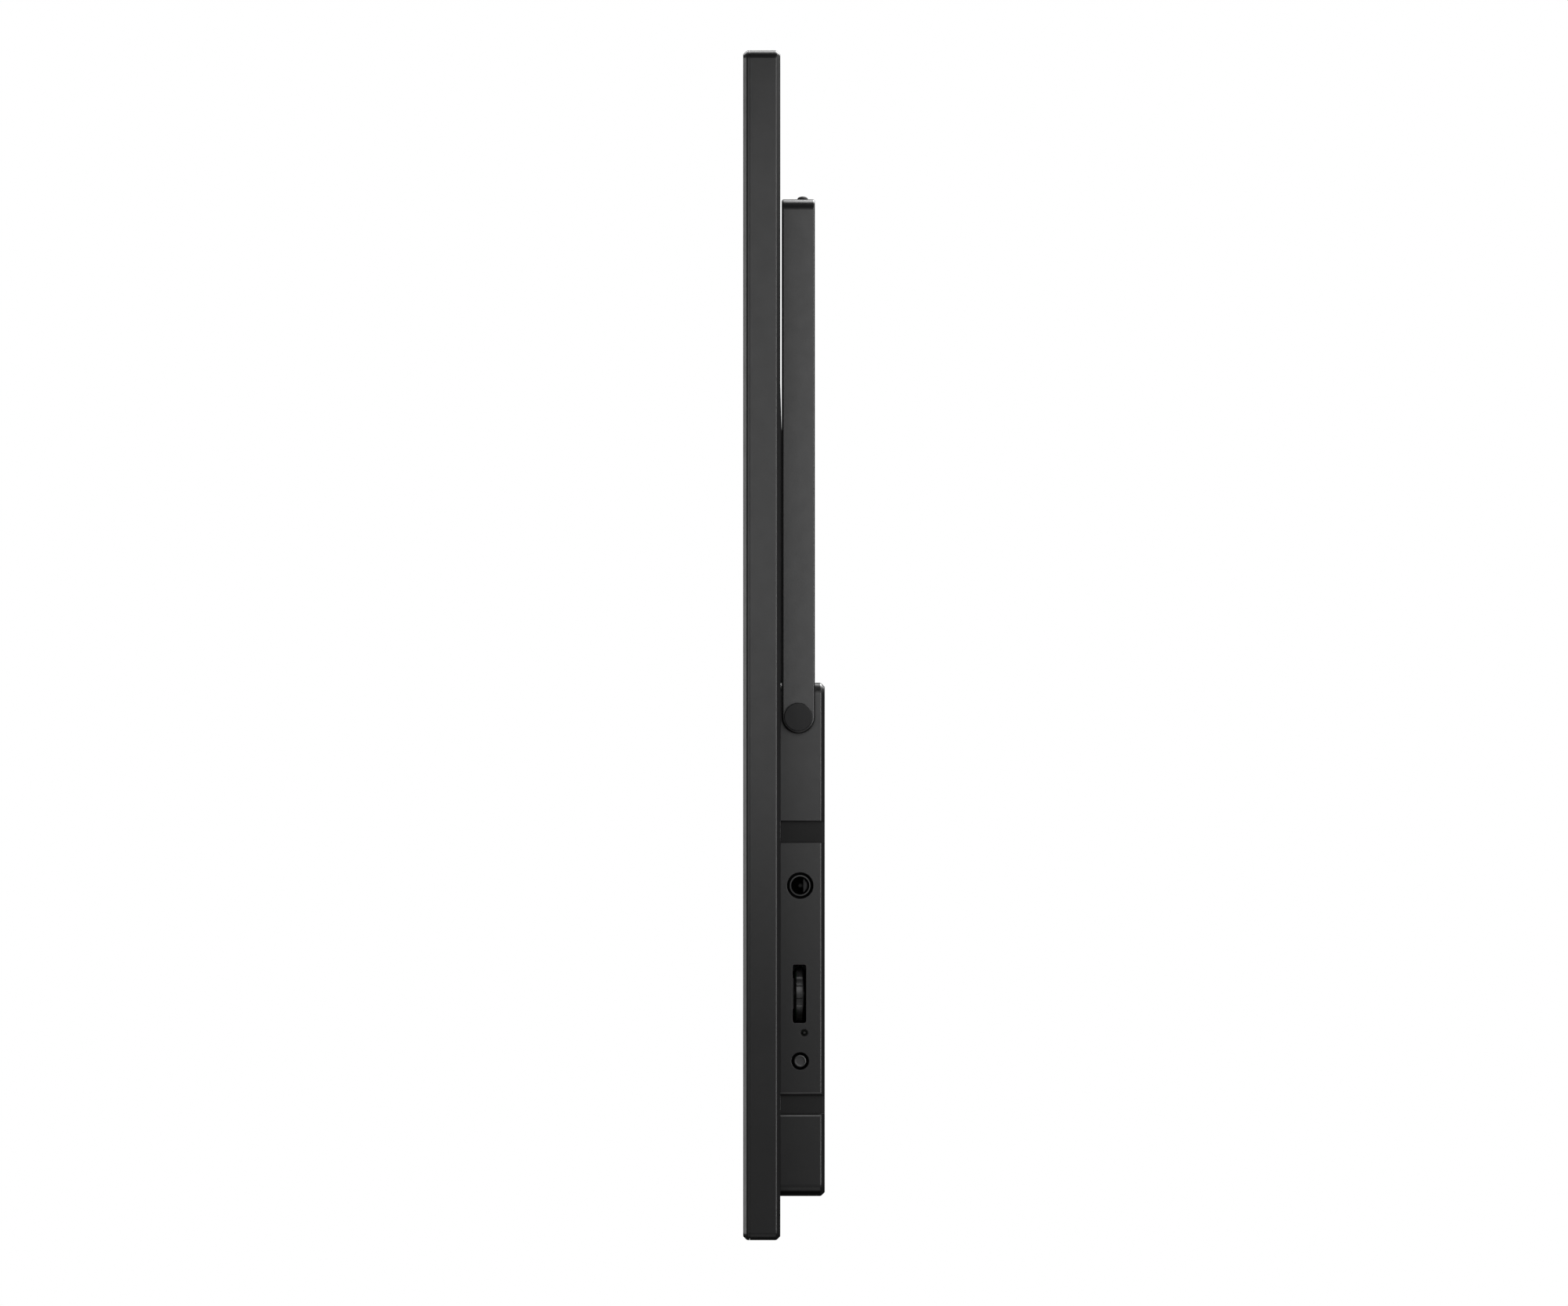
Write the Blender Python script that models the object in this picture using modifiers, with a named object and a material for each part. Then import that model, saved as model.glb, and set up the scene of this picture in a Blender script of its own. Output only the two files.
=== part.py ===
"""An edge-lit LED panel light for a studio, on a strap yoke that tilts about the sides of its control box.

Metres, +Z up. The panel shines towards -Y and +X is the side with the controls. The world origin is the
centre of the yoke's stand thread, on the crossbar's outer face. Everything on the head is laid out from the
tilt axis.
"""

import math

import bmesh
import bpy
from mathutils import Matrix, Vector

GAP = 0.0003  # air between neighbouring pieces
PAST = 0.001  # how far a cutter reaches past what it cuts
BITE = 0.0005  # how far a joined post or block reaches into the wall it stands on

# Yoke
STRAP_WIDTH = 0.0121
STRAP_THICKNESS = 0.0025
YOKE_REACH = 0.1885  # from the tilt axis to the crossbar's outer face
BEND_RADIUS = 0.0040
STAND_THREAD_RADIUS = 0.003175  # a quarter-inch thread, as a plain bore
INSERT_RADIUS = 0.0045
INSERT_FLANGE_RADIUS = 0.0060
INSERT_DEPTH = 0.0055
FOOT_RADIUS = 0.0020
FOOT_HEIGHT = 0.0012
FOOT_SPREAD = 0.060
FOOT_SETBACK = 0.0016

# Panel
PANEL_WIDTH = 0.260
PANEL_HEIGHT = 0.432
PANEL_DEPTH = 0.0135
PANEL_CORNER = 0.0030
CHAMFER = 0.0014
AXIS_HEIGHT = 0.1899  # the tilt axis above the panel's lower edge
AXIS_SETBACK = 0.00655  # the tilt axis behind the panel's rear plane
BEZEL_DEPTH = 0.0023
BEZEL_LIP = 0.0012
WINDOW_WIDTH = 0.234
WINDOW_HEIGHT = 0.406
SHELL_WALL = 0.0018
SHELL_BACK = 0.0016
FIELD_WIDTH = 0.120  # the raised field on the rear shell, above the control box
FIELD_PROUD = 0.0008
FIELD_FLAT = 0.081
FIELD_RAMP = 0.036

# Light stack, front to back
DIFFUSER_SIZE = (0.239, 0.0020, 0.411)
GUIDE_SIZE = (0.2376, 0.0030, 0.410)
REFLECTOR_SIZE = (0.2376, 0.0004, 0.410)
SPREADER_SIZE = (0.2454, 0.0012, 0.410)
FOAM_THICKNESS = 0.0023
LED_COUNT = 30
LED_SIZE = (0.0013, 0.0020, 0.0030)
STRIP_THICKNESS = 0.0010
STRIP_WIDTH = 0.0044

# Control box
BOX_WIDTH = 0.150
BOX_HEIGHT = 0.1869
BOX_DEPTH = 0.0162  # from the panel's rear plane
BOX_FOOT = 0.0154  # the box's lower edge above the panel's
BOX_WALL = 0.0020
GROOVE_DEPTH = 0.0025
GROOVES = ((-0.0458, -0.0378), (-0.1454, -0.1367))  # heights of the side grooves, low to high
VENT_ROWS = (-0.034, -0.064)  # lower ends of the two rows of slots in the rear wall
VENT_SIZE = (0.002, 0.024)
VENT_PITCH = 0.008
VENT_COUNT = 7

# Controls on the box's right side, as (y, z) from the tilt axis
SOCKET_AT = (0.00065, -0.0614)
WHEEL_AT = (0.00035, -0.1008)
INDICATOR_AT = (0.00215, -0.1150)
BUTTON_AT = (0.00065, -0.1253)
SOCKET_HOLE_RADIUS = 0.00475
SOCKET_NOSE_RADIUS = 0.0039
SOCKET_BORE_RADIUS = 0.0032
SOCKET_PIN_RADIUS = 0.0010
WHEEL_RADIUS = 0.0100
WHEEL_THICKNESS = 0.0032
WHEEL_PROUD = 0.0012
WHEEL_TEETH = 24
WHEEL_SLOT = (0.0048, 0.0211)
INDICATOR_RADIUS = 0.0013
BUTTON_HOLE_RADIUS = 0.00315
BUTTON_RADIUS = 0.0022
BUTTON_PROUD = 0.0004

# Pivots
PIVOT_SHANK_RADIUS = 0.0025
PIVOT_HOLE_RADIUS = 0.0028
PIVOT_CAP_RADIUS = 0.00515
FRICTION_WASHER = (0.0058, 0.0010)  # radius, thickness

# Screws
SHELL_SCREW_X = 0.1256
SHELL_SCREW_Z = 0.2116
SHELL_SCREW_RISE = 0.150
SHELL_POST_RADIUS = 0.0022
SHELL_HOLE_RADIUS = 0.0015
BOX_SCREW_X = 0.052
BOX_SCREW_Z = (0.0034, -0.1655)
BOX_POST_RADIUS = 0.0042
BOX_HOLE_RADIUS = 0.0018
RECESS_DEPTH = 0.0009  # the cross in a screw's head

# Control board, as spans from the tilt axis
BOARD_Y = (-0.0056, -0.0040)
BOARD_X = (-0.060, 0.070)
BOARD_Z = (-0.160, -0.050)
BOARD_POST_RADIUS = 0.0030

# Planes worked out from the sizes above, from the tilt axis
REAR = -AXIS_SETBACK
FRONT = REAR - PANEL_DEPTH
BOTTOM = -AXIS_HEIGHT
TOP = BOTTOM + PANEL_HEIGHT
MIDDLE = (BOTTOM + TOP) / 2
BEZEL_BACK = FRONT + BEZEL_DEPTH
DIFFUSER_Y = FRONT + BEZEL_LIP + GAP
GUIDE_Y = DIFFUSER_Y + DIFFUSER_SIZE[1] + GAP
REFLECTOR_Y = GUIDE_Y + GUIDE_SIZE[1] + GAP
SPREADER_Y = REFLECTOR_Y + REFLECTOR_SIZE[1] + GAP
FOAM_Y = SPREADER_Y + SPREADER_SIZE[1] + GAP
BOX_SIDE = BOX_WIDTH / 2
BOX_REAR = REAR + BOX_DEPTH
BOX_LOW = BOTTOM + BOX_FOOT
BOX_HIGH = BOX_LOW + BOX_HEIGHT
INNER_SIDE = BOX_SIDE - BOX_WALL
ARM_INSIDE = BOX_SIDE + FRICTION_WASHER[1] + 2 * GAP
ARM_OUTSIDE = ARM_INSIDE + STRAP_THICKNESS
PARTS_FRONT = BOARD_Y[1] + GAP  # where what stands on the board begins

# colour, metallic, roughness
FINISHES = {
    "black_shell": ((0.045, 0.045, 0.047), 0.0, 0.55),
    "black_coat": ((0.050, 0.050, 0.052), 0.0, 0.45),
    "black_trim": ((0.020, 0.020, 0.021), 0.0, 0.40),
    "rubber": ((0.018, 0.018, 0.018), 0.0, 0.80),
    "opal": ((0.86, 0.87, 0.86), 0.0, 0.35),
    "acrylic": ((0.80, 0.86, 0.86), 0.0, 0.08),
    "white_film": ((0.90, 0.90, 0.90), 0.0, 0.50),
    "aluminium": ((0.72, 0.73, 0.74), 1.0, 0.40),
    "steel": ((0.50, 0.50, 0.51), 1.0, 0.35),
    "black_steel": ((0.06, 0.06, 0.06), 1.0, 0.45),
    "brass": ((0.72, 0.56, 0.28), 1.0, 0.35),
    "foam": ((0.06, 0.06, 0.06), 0.0, 0.95),
    "board": ((0.02, 0.16, 0.07), 0.0, 0.40),
    "white_board": ((0.85, 0.85, 0.82), 0.0, 0.45),
    "lens": ((0.55, 0.60, 0.58), 0.0, 0.20),
    "white_plastic": ((0.80, 0.79, 0.74), 0.0, 0.50),
    "wire": ((0.30, 0.03, 0.03), 0.0, 0.50),
}

ALONG = {
    "X": Matrix.Rotation(math.pi / 2, 4, "Y"),
    "-X": Matrix.Rotation(-math.pi / 2, 4, "Y"),
    "Y": Matrix.Rotation(-math.pi / 2, 4, "X"),
    "Z": Matrix.Identity(4),
}


# ---------------------------------------------------------------- tools


def new_collection(name):
    collection = bpy.data.collections.new(name)
    bpy.context.scene.collection.children.link(collection)
    return collection


def new_empty(name, collection, location, parent=None):
    empty = bpy.data.objects.new(name, None)
    empty.empty_display_size = 0.01
    collection.objects.link(empty)
    empty.parent = parent
    empty.location = location
    return empty


def finish(item, name):
    """Give the piece its own material from the table of finishes."""
    colour, metallic, roughness = FINISHES[name]
    material = bpy.data.materials.new(item.name)
    material.use_nodes = True
    shader = material.node_tree.nodes["Principled BSDF"]
    shader.inputs["Base Color"].default_value = (*colour, 1.0)
    shader.inputs["Metallic"].default_value = metallic
    shader.inputs["Roughness"].default_value = roughness
    material.diffuse_color = (*colour, 1.0)
    item.data.materials.clear()
    item.data.materials.append(material)


def object_from(work, name, location=(0, 0, 0)):
    """A mesh object from a bmesh, shaded smooth where it is round."""
    data = bpy.data.meshes.new(name)
    bmesh.ops.recalc_face_normals(work, faces=work.faces)
    work.to_mesh(data)
    work.free()
    data.shade_smooth()
    data.set_sharp_from_angle(angle=math.radians(35))
    item = bpy.data.objects.new(name, data)
    item.location = location
    return item


def slab(name, low, high, corner=0.0, front=0.0, rear=0.0, steps=4):
    """A block from low to high, with its edges along Y rounded and its front and rear rims chamfered."""
    low, high = Vector(low), Vector(high)
    size = high - low
    work = bmesh.new()
    bmesh.ops.create_cube(work, size=1.0, matrix=Matrix.Diagonal((*size, 1.0)))
    if corner:
        edges = [e for e in work.edges if abs(e.verts[0].co.y - e.verts[1].co.y) > size.y / 2]
        bmesh.ops.bevel(work, geom=edges, offset=corner, segments=steps, profile=0.5, affect="EDGES")
    for side, width in ((-1, front), (1, rear)):
        if width:
            plane = side * size.y / 2
            rim = [e for e in work.edges if all(abs(v.co.y - plane) < 1e-6 for v in e.verts)]
            bmesh.ops.bevel(work, geom=rim, offset=width, segments=1, profile=0.5, affect="EDGES")
    return object_from(work, name, (low + high) / 2)


def cylinders(name, radius, length, axis, centres, steps=24):
    """Equal cylinders along one axis, as one mesh."""
    work = bmesh.new()
    for centre in centres:
        bmesh.ops.create_cone(
            work, cap_ends=True, segments=steps, radius1=radius, radius2=radius, depth=length,
            matrix=Matrix.Translation(centre) @ ALONG[axis],
        )
    return object_from(work, name)


def turned(name, profile, axis, location, steps=24, closed=False):
    """A profile of (radius, height) turned about an axis, running down its outer side from top to bottom."""
    data = bpy.data.meshes.new(name)
    work = bmesh.new()
    points = [work.verts.new((radius, 0, height)) for radius, height in profile]
    for first, second in zip(points, points[1:] + points[:1] if closed else points[1:]):
        work.edges.new((first, second))
    work.to_mesh(data)
    work.free()
    item = bpy.data.objects.new(name, data)
    item.matrix_basis = Matrix.Translation(location) @ ALONG[axis]
    screw = item.modifiers.new("turn", "SCREW")
    screw.steps = screw.render_steps = steps
    screw.use_merge_vertices = True
    screw.merge_threshold = 0.00001
    screw.use_smooth_shade = True
    return item


def evaluated_mesh(item):
    """The item's mesh with its modifiers applied and doubled points merged; the item is removed."""
    bpy.context.view_layer.update()
    graph = bpy.context.evaluated_depsgraph_get()
    data = bpy.data.meshes.new_from_object(item.evaluated_get(graph))
    data.name = item.name
    work = bmesh.new()
    work.from_mesh(data)
    bmesh.ops.remove_doubles(work, verts=work.verts, dist=0.00001)
    bmesh.ops.recalc_face_normals(work, faces=work.faces)
    work.to_mesh(data)
    work.free()
    bpy.data.objects.remove(item, do_unlink=True)
    return data


def outline(name, points, thickness, plane, location=(0, 0, 0)):
    """A flat outline with a thickness: plane XZ is seen from the front, YZ from the right, XY from above."""
    curve = bpy.data.curves.new(name, "CURVE")
    curve.dimensions = "2D"
    curve.fill_mode = "BOTH"
    curve.extrude = thickness / 2
    spline = curve.splines.new("POLY")
    spline.points.add(len(points) - 1)
    for point, (across, up) in zip(spline.points, points):
        point.co = (across, up, 0, 1)
    spline.use_cyclic_u = True
    drawn = bpy.data.objects.new(name, curve)
    bpy.context.scene.collection.objects.link(drawn)
    data = evaluated_mesh(drawn)
    item = bpy.data.objects.new(name, data)
    turns = {"XY": (0, 0, 0), "XZ": (math.pi / 2, 0, 0), "YZ": (math.pi / 2, 0, math.pi / 2)}
    item.rotation_euler = turns[plane]
    item.location = location
    return item


def arc(centre, radius, start, end, steps):
    """Points on an arc from start to end, in degrees."""
    angles = [math.radians(start + (end - start) * i / steps) for i in range(steps + 1)]
    return [(centre[0] + radius * math.cos(a), centre[1] + radius * math.sin(a)) for a in angles]


class Assembly:
    """Where pieces and cutters go, and what they ride on."""

    def __init__(self, name):
        self.parts = new_collection(name)
        self.cutters = new_collection("cutters")

    def add(self, item, finish_name, parent=None):
        self.parts.objects.link(item)
        item.parent = parent
        finish(item, finish_name)
        return item

    def boolean(self, target, tool, operation="DIFFERENCE"):
        """Cut the tool from the target, or join it on; the tool is given in the target's parent's space."""
        self.cutters.objects.link(tool)
        tool.parent = target.parent
        tool.hide_render = True
        tool.display_type = "WIRE"
        modifier = target.modifiers.new(tool.name, "BOOLEAN")
        modifier.object = tool
        modifier.operation = operation
        modifier.solver = "EXACT"

    def cut(self, target, *tools):
        for tool in tools:
            self.boolean(target, tool)

    def join(self, target, *tools):
        for tool in tools:
            self.boolean(target, tool, "UNION")


# ---------------------------------------------------------------- yoke


def add_yoke(asm):
    """A flat strap bent to a U, with round lower ends, a stand thread and two rubber feet."""
    inner_bend = BEND_RADIUS - STRAP_THICKNESS
    end = -YOKE_REACH - STRAP_WIDTH / 2
    corner = ARM_OUTSIDE - BEND_RADIUS
    bends = [(ARM_OUTSIDE, end)]
    bends += arc((corner, -BEND_RADIUS), BEND_RADIUS, 0, 90, 6)
    bends += arc((-corner, -BEND_RADIUS), BEND_RADIUS, 90, 180, 6)
    bends += [(-ARM_OUTSIDE, end), (-ARM_INSIDE, end)]
    bends += arc((-corner, -BEND_RADIUS), inner_bend, 180, 90, 4)
    bends += arc((corner, -BEND_RADIUS), inner_bend, 90, 0, 4)
    bends += [(ARM_INSIDE, end)]
    yoke = asm.add(outline("yoke", bends, STRAP_WIDTH, "XZ"), "black_coat")

    half = STRAP_WIDTH / 2
    outside, below, across = half + PAST, -half - PAST, 2 * (ARM_OUTSIDE + PAST)
    round_end = [(-outside, 0), (-outside, below), (outside, below), (outside, 0)]
    round_end += arc((0, 0), half, 0, -180, 14)
    end_trim = outline("end_trim", round_end, across, "YZ", (0, 0, -YOKE_REACH))
    pivot_hole = cylinders("yoke_pivot_hole", PIVOT_HOLE_RADIUS, across, "X", [(0, 0, -YOKE_REACH)])
    insert_hole = cylinders("insert_hole", INSERT_RADIUS + GAP, 4 * STRAP_THICKNESS, "Z", [(0, 0, 0)])
    foot_root = 0.0005
    foot_holes = cylinders(
        "foot_holes", FOOT_RADIUS + GAP, 2 * (foot_root + GAP), "Z",
        [(side * FOOT_SPREAD, FOOT_SETBACK, 0) for side in (-1, 1)], 16,
    )
    asm.cut(yoke, end_trim, pivot_hole, insert_hole, foot_holes)

    top, shoulder, bore = -0.0001, -STRAP_THICKNESS - GAP, STAND_THREAD_RADIUS
    insert = [(INSERT_RADIUS, top), (INSERT_RADIUS, shoulder), (INSERT_FLANGE_RADIUS, shoulder)]
    insert += [(INSERT_FLANGE_RADIUS, -INSERT_DEPTH), (bore, -INSERT_DEPTH), (bore, top)]
    asm.add(turned("stand_insert", insert, "Z", (0, 0, 0), 32, True), "brass")

    for side, label in ((-1, "left"), (1, "right")):
        profile = [(FOOT_RADIUS * c, FOOT_HEIGHT * s) for c, s in arc((0, 0), 1.0, 90, 0, 5)]
        profile += [(FOOT_RADIUS, -foot_root), (0, -foot_root)]
        foot = turned(f"yoke_foot_{label}", profile, "Z", (side * FOOT_SPREAD, FOOT_SETBACK, 0), 20)
        asm.add(foot, "rubber")


# ---------------------------------------------------------------- panel


def shell_screw_places():
    """The (x, z) of the eight screws round the panel's rim."""
    sides = [(side * SHELL_SCREW_X, MIDDLE + rise) for rise in (-SHELL_SCREW_RISE, 0, SHELL_SCREW_RISE)
             for side in (-1, 1)]
    return sides + [(0, MIDDLE - SHELL_SCREW_Z), (0, MIDDLE + SHELL_SCREW_Z)]


def add_bezel(asm, head):
    """The front frame: a lip round the light window, a pocket for the diffuser and screw posts behind."""
    half = PANEL_WIDTH / 2
    bezel = slab("front_bezel", (-half, FRONT, BOTTOM), (half, BEZEL_BACK, TOP), PANEL_CORNER, CHAMFER)
    asm.add(bezel, "black_shell", head)
    x, z = WINDOW_WIDTH / 2, WINDOW_HEIGHT / 2
    window = slab("window", (-x, FRONT - PAST, MIDDLE - z), (x, BEZEL_BACK + PAST, MIDDLE + z), 0.002)
    x, z = DIFFUSER_SIZE[0] / 2 + 0.0004, DIFFUSER_SIZE[2] / 2 + 0.0004
    pocket = slab("pocket", (-x, FRONT + BEZEL_LIP, MIDDLE - z), (x, BEZEL_BACK + PAST, MIDDLE + z))
    far = REAR - SHELL_BACK - GAP
    near = BEZEL_BACK - 0.0008
    posts = [(px, (near + far) / 2, pz) for px, pz in shell_screw_places()]
    deep, out = BEZEL_BACK + 0.0011, far + PAST  # the holes stop short of the bezel's own plate
    holes = [(px, (deep + out) / 2, pz) for px, pz in shell_screw_places()]
    asm.join(bezel, cylinders("bezel_posts", SHELL_POST_RADIUS, far - near, "Y", posts, 12))
    asm.cut(bezel, window, pocket, cylinders("post_holes", SHELL_HOLE_RADIUS, out - deep, "Y", holes, 12))


def add_rear_shell(asm, head):
    """A shallow tray with screw holes, a cable window and a raised field above the control box."""
    half, front = PANEL_WIDTH / 2, BEZEL_BACK + GAP
    shell = slab("rear_shell", (-half, front, BOTTOM), (half, REAR, TOP), PANEL_CORNER, 0, CHAMFER)
    asm.add(shell, "black_shell", head)
    inner = half - SHELL_WALL
    hollow = slab(
        "shell_hollow", (-inner, front - PAST, BOTTOM + SHELL_WALL),
        (inner, REAR - SHELL_BACK, TOP - SHELL_WALL), PANEL_CORNER - SHELL_WALL, steps=2,
    )
    base, proud = REAR - BITE, REAR + FIELD_PROUD
    foot = BOX_HIGH + GAP
    brow = foot + FIELD_FLAT
    field = [(base, foot), (proud, foot), (proud, brow), (base, brow + FIELD_RAMP)]
    raised = outline("raised_field", field, FIELD_WIDTH, "YZ")
    pads = [(x, REAR - 0.0001, z) for x, z in board_posts()]
    asm.cut(shell, hollow)
    asm.join(shell, raised, cylinders("board_pads", BOARD_POST_RADIUS, 0.0012, "Y", pads, 12))

    through = 2 * (SHELL_BACK + PAST)
    holes = [(x, REAR, z) for x, z in shell_screw_places()]
    sinks = bmesh.new()
    for x, z in shell_screw_places():
        bmesh.ops.create_cone(
            sinks, cap_ends=True, segments=12, radius1=0.0011, radius2=0.0034, depth=0.0023,
            matrix=Matrix.Translation((x, REAR - 0.00035, z)) @ ALONG["Y"],
        )
    box_holes = [(x, REAR, z) for x, z in box_screw_places()]
    cable = slab("cable_window", (-0.014, REAR - 0.004, -0.170), (0.014, REAR + 0.002, -0.161), 0.002)
    asm.cut(
        shell, cylinders("shell_screw_holes", SHELL_HOLE_RADIUS, through, "Y", holes, 12),
        object_from(sinks, "countersinks"),
        cylinders("shell_box_holes", BOX_HOLE_RADIUS, through, "Y", box_holes, 16), cable,
    )


def add_light_stack(asm, head):
    """Diffuser, light guide, reflector, heat spreader with its LED strips, and the pad behind them."""
    for name, size, front, look in (
        ("diffuser", DIFFUSER_SIZE, DIFFUSER_Y, "opal"),
        ("light_guide", GUIDE_SIZE, GUIDE_Y, "acrylic"),
        ("reflector_sheet", REFLECTOR_SIZE, REFLECTOR_Y, "white_film"),
    ):
        x, z = size[0] / 2, size[2] / 2
        sheet = slab(name, (-x, front, MIDDLE - z), (x, front + size[1], MIDDLE + z), 0.0015, steps=2)
        asm.add(sheet, look, head)

    half, back, wall, tip = SPREADER_SIZE[0] / 2, SPREADER_Y + SPREADER_SIZE[1], 0.0010, GUIDE_Y - 0.0010
    channel = [(-half, back), (-half, tip), (-half + wall, tip), (-half + wall, SPREADER_Y)]
    channel += [(half - wall, SPREADER_Y), (half - wall, tip), (half, tip), (half, back)]
    spreader = outline("heat_spreader", channel, SPREADER_SIZE[2], "XY", (0, 0, MIDDLE))
    asm.add(spreader, "aluminium", head)

    pad = slab("foam_pad", (-0.112, FOAM_Y, -0.150), (0.112, FOAM_Y + FOAM_THICKNESS, TOP - 0.012), 0.004)
    asm.add(pad, "foam", head)

    pitch = GUIDE_SIZE[2] / LED_COUNT
    middle_y = GUIDE_Y + GUIDE_SIZE[1] / 2
    for side, label in ((-1, "left"), (1, "right")):
        outer = side * (half - wall - GAP)
        inner = outer - side * STRIP_THICKNESS
        low_x, high_x = sorted((outer, inner))
        high_y = SPREADER_Y - GAP
        low_z = MIDDLE - GUIDE_SIZE[2] / 2
        low, high = (low_x, high_y - STRIP_WIDTH, low_z), (high_x, high_y, 2 * MIDDLE - low_z)
        strip = slab(f"led_strip_{label}", low, high)
        asm.add(strip, "white_board", head)
        leds = bmesh.new()
        for number in range(LED_COUNT):
            place = (inner - side * (LED_SIZE[0] / 2 - 0.0001), middle_y, low_z + (number + 0.5) * pitch)
            size = Matrix.Diagonal((*LED_SIZE, 1.0))
            bmesh.ops.create_cube(leds, size=1.0, matrix=Matrix.Translation(place) @ size)
        asm.join(strip, object_from(leds, f"leds_{label}"))


def add_shell_screws(asm, head):
    """Eight countersunk screws from the back into the bezel's posts."""
    shank, length = 0.0012, 0.0089
    profile = [(0, 0), (0.0023, 0), (shank, -0.0012), (shank, 0.0006 - length), (0, -length)]
    template = turned("shell_screw", profile, "Y", (0, 0, 0), 12)
    bpy.context.scene.collection.objects.link(template)
    data = with_cross_recess(template)
    for number, (x, z) in enumerate(shell_screw_places(), 1):
        screw = bpy.data.objects.new(f"shell_screw_{number}", data.copy())
        screw.matrix_basis = Matrix.Translation((x, REAR - 0.0001, z)) @ ALONG["Y"]
        asm.add(screw, "black_steel", head)
    bpy.data.meshes.remove(data)


def with_cross_recess(template):
    """The template's mesh, upright, with a cross-shaped drive cut in its head; the template is removed."""
    template.matrix_basis = Matrix.Identity(4)
    wide, narrow = 0.0013, 0.00035
    cross = []
    for quarter in range(4):
        turn = Matrix.Rotation(quarter * math.pi / 2, 2)
        arm = ((narrow, -narrow), (wide, -narrow), (wide, narrow))
        cross += [tuple(turn @ Vector(corner)) for corner in arm]
    tool = outline("cross_recess", cross, 2 * RECESS_DEPTH, "XY")
    bpy.context.scene.collection.objects.link(tool)
    cut = template.modifiers.new("recess", "BOOLEAN")
    cut.object = tool
    cut.solver = "EXACT"
    data = evaluated_mesh(template)
    bpy.data.objects.remove(tool, do_unlink=True)
    data.shade_smooth()
    data.set_sharp_from_angle(angle=math.radians(35))
    return data


# ---------------------------------------------------------------- control box


def box_screw_places():
    return [(side * BOX_SCREW_X, z) for z in BOX_SCREW_Z for side in (-1, 1)]


def board_posts():
    return [(x, z) for x in (-0.054, 0.048) for z in (-0.154, -0.056)]


def add_box(asm, head):
    """The moulded housing of the controls: grooved sides, screw posts, vents and control openings."""
    front = REAR + GAP
    box = slab(
        "control_box", (-BOX_SIDE, front, BOX_LOW), (BOX_SIDE, BOX_REAR, BOX_HIGH), PANEL_CORNER, 0, CHAMFER
    )
    asm.add(box, "black_shell", head)
    inner_rear = BOX_REAR - BOX_WALL
    hollow = slab(
        "box_hollow", (-INNER_SIDE, front - PAST, BOX_LOW + BOX_WALL),
        (INNER_SIDE, inner_rear, BOX_HIGH - BOX_WALL), 0.001, steps=1,
    )
    asm.cut(box, hollow)
    root = inner_rear + BITE
    for side in (-1, 1):
        for number, (low, high) in enumerate(GROOVES):
            near, far = sorted((side * (INNER_SIDE + BITE), side * (INNER_SIDE - GROOVE_DEPTH)))
            name = f"groove_back_{side}_{number}"
            asm.join(box, slab(name, (near, front, low - BOX_WALL), (far, root, high + BOX_WALL)))
    posts = [(x, (front + root) / 2, z) for x, z in box_screw_places()]
    asm.join(box, cylinders("box_posts", BOX_POST_RADIUS, root - front, "Y", posts, 16))
    posts = [(x, (PARTS_FRONT + root) / 2, z) for x, z in board_posts()]
    asm.join(box, cylinders("board_posts", BOARD_POST_RADIUS, root - PARTS_FRONT, "Y", posts, 12))

    for side in (-1, 1):
        for number, (low, high) in enumerate(GROOVES):
            near, far = sorted((side * (BOX_SIDE + PAST), side * (BOX_SIDE - GROOVE_DEPTH)))
            name = f"groove_{side}_{number}"
            asm.cut(box, slab(name, (near, front - PAST, low), (far, BOX_REAR + PAST, high)))
    holes = [(x, 0, z) for x, z in box_screw_places()]
    sinks = [(x, BOX_REAR, z) for x, z in box_screw_places()]
    through = 4 * BOX_WALL
    asm.cut(
        box,
        cylinders("box_screw_holes", BOX_HOLE_RADIUS, 2 * BOX_DEPTH, "Y", holes, 12),
        cylinders("box_screw_sinks", 0.0031, 0.0048, "Y", sinks, 16),
        cylinders("box_pivot_hole", PIVOT_HOLE_RADIUS, BOX_WIDTH + 2 * PAST, "X", [(0, 0, 0)]),
        cylinders("socket_hole", SOCKET_HOLE_RADIUS, through, "X", [(BOX_SIDE, *SOCKET_AT)], 32),
        cylinders("indicator_hole", INDICATOR_RADIUS, through, "X", [(BOX_SIDE, *INDICATOR_AT)], 16),
        cylinders("button_hole", BUTTON_HOLE_RADIUS, through, "X", [(BOX_SIDE, *BUTTON_AT)], 24),
    )
    asm.cut(box, wheel_slot(), *vents())


def wheel_slot():
    """The thumbwheel's slot through the right side, with small round corners."""
    across, up = WHEEL_SLOT[0] / 2, WHEEL_SLOT[1] / 2
    radius = 0.0008
    rim = []
    for number, (y, z) in enumerate(((1, 1), (-1, 1), (-1, -1), (1, -1))):
        centre = (y * (across - radius), z * (up - radius))
        rim += arc(centre, radius, 90 * number, 90 * number + 90, 3)
    return outline("wheel_slot", rim, 4 * BOX_WALL, "YZ", (BOX_SIDE, *WHEEL_AT))


def vents():
    """Two rows of upright slots through the box's rear wall."""
    tools = []
    half, near, far = VENT_SIZE[0] / 2, BOX_REAR - 2 * BOX_WALL, BOX_REAR + PAST
    for row, low in enumerate(VENT_ROWS):
        for number in range(VENT_COUNT):
            x = (number - (VENT_COUNT - 1) / 2) * VENT_PITCH
            low_corner, high_corner = (x - half, near, low), (x + half, far, low + VENT_SIZE[1])
            tools.append(slab(f"vent_{row}_{number}", low_corner, high_corner, 0.9 * half, steps=2))
    return tools


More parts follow.
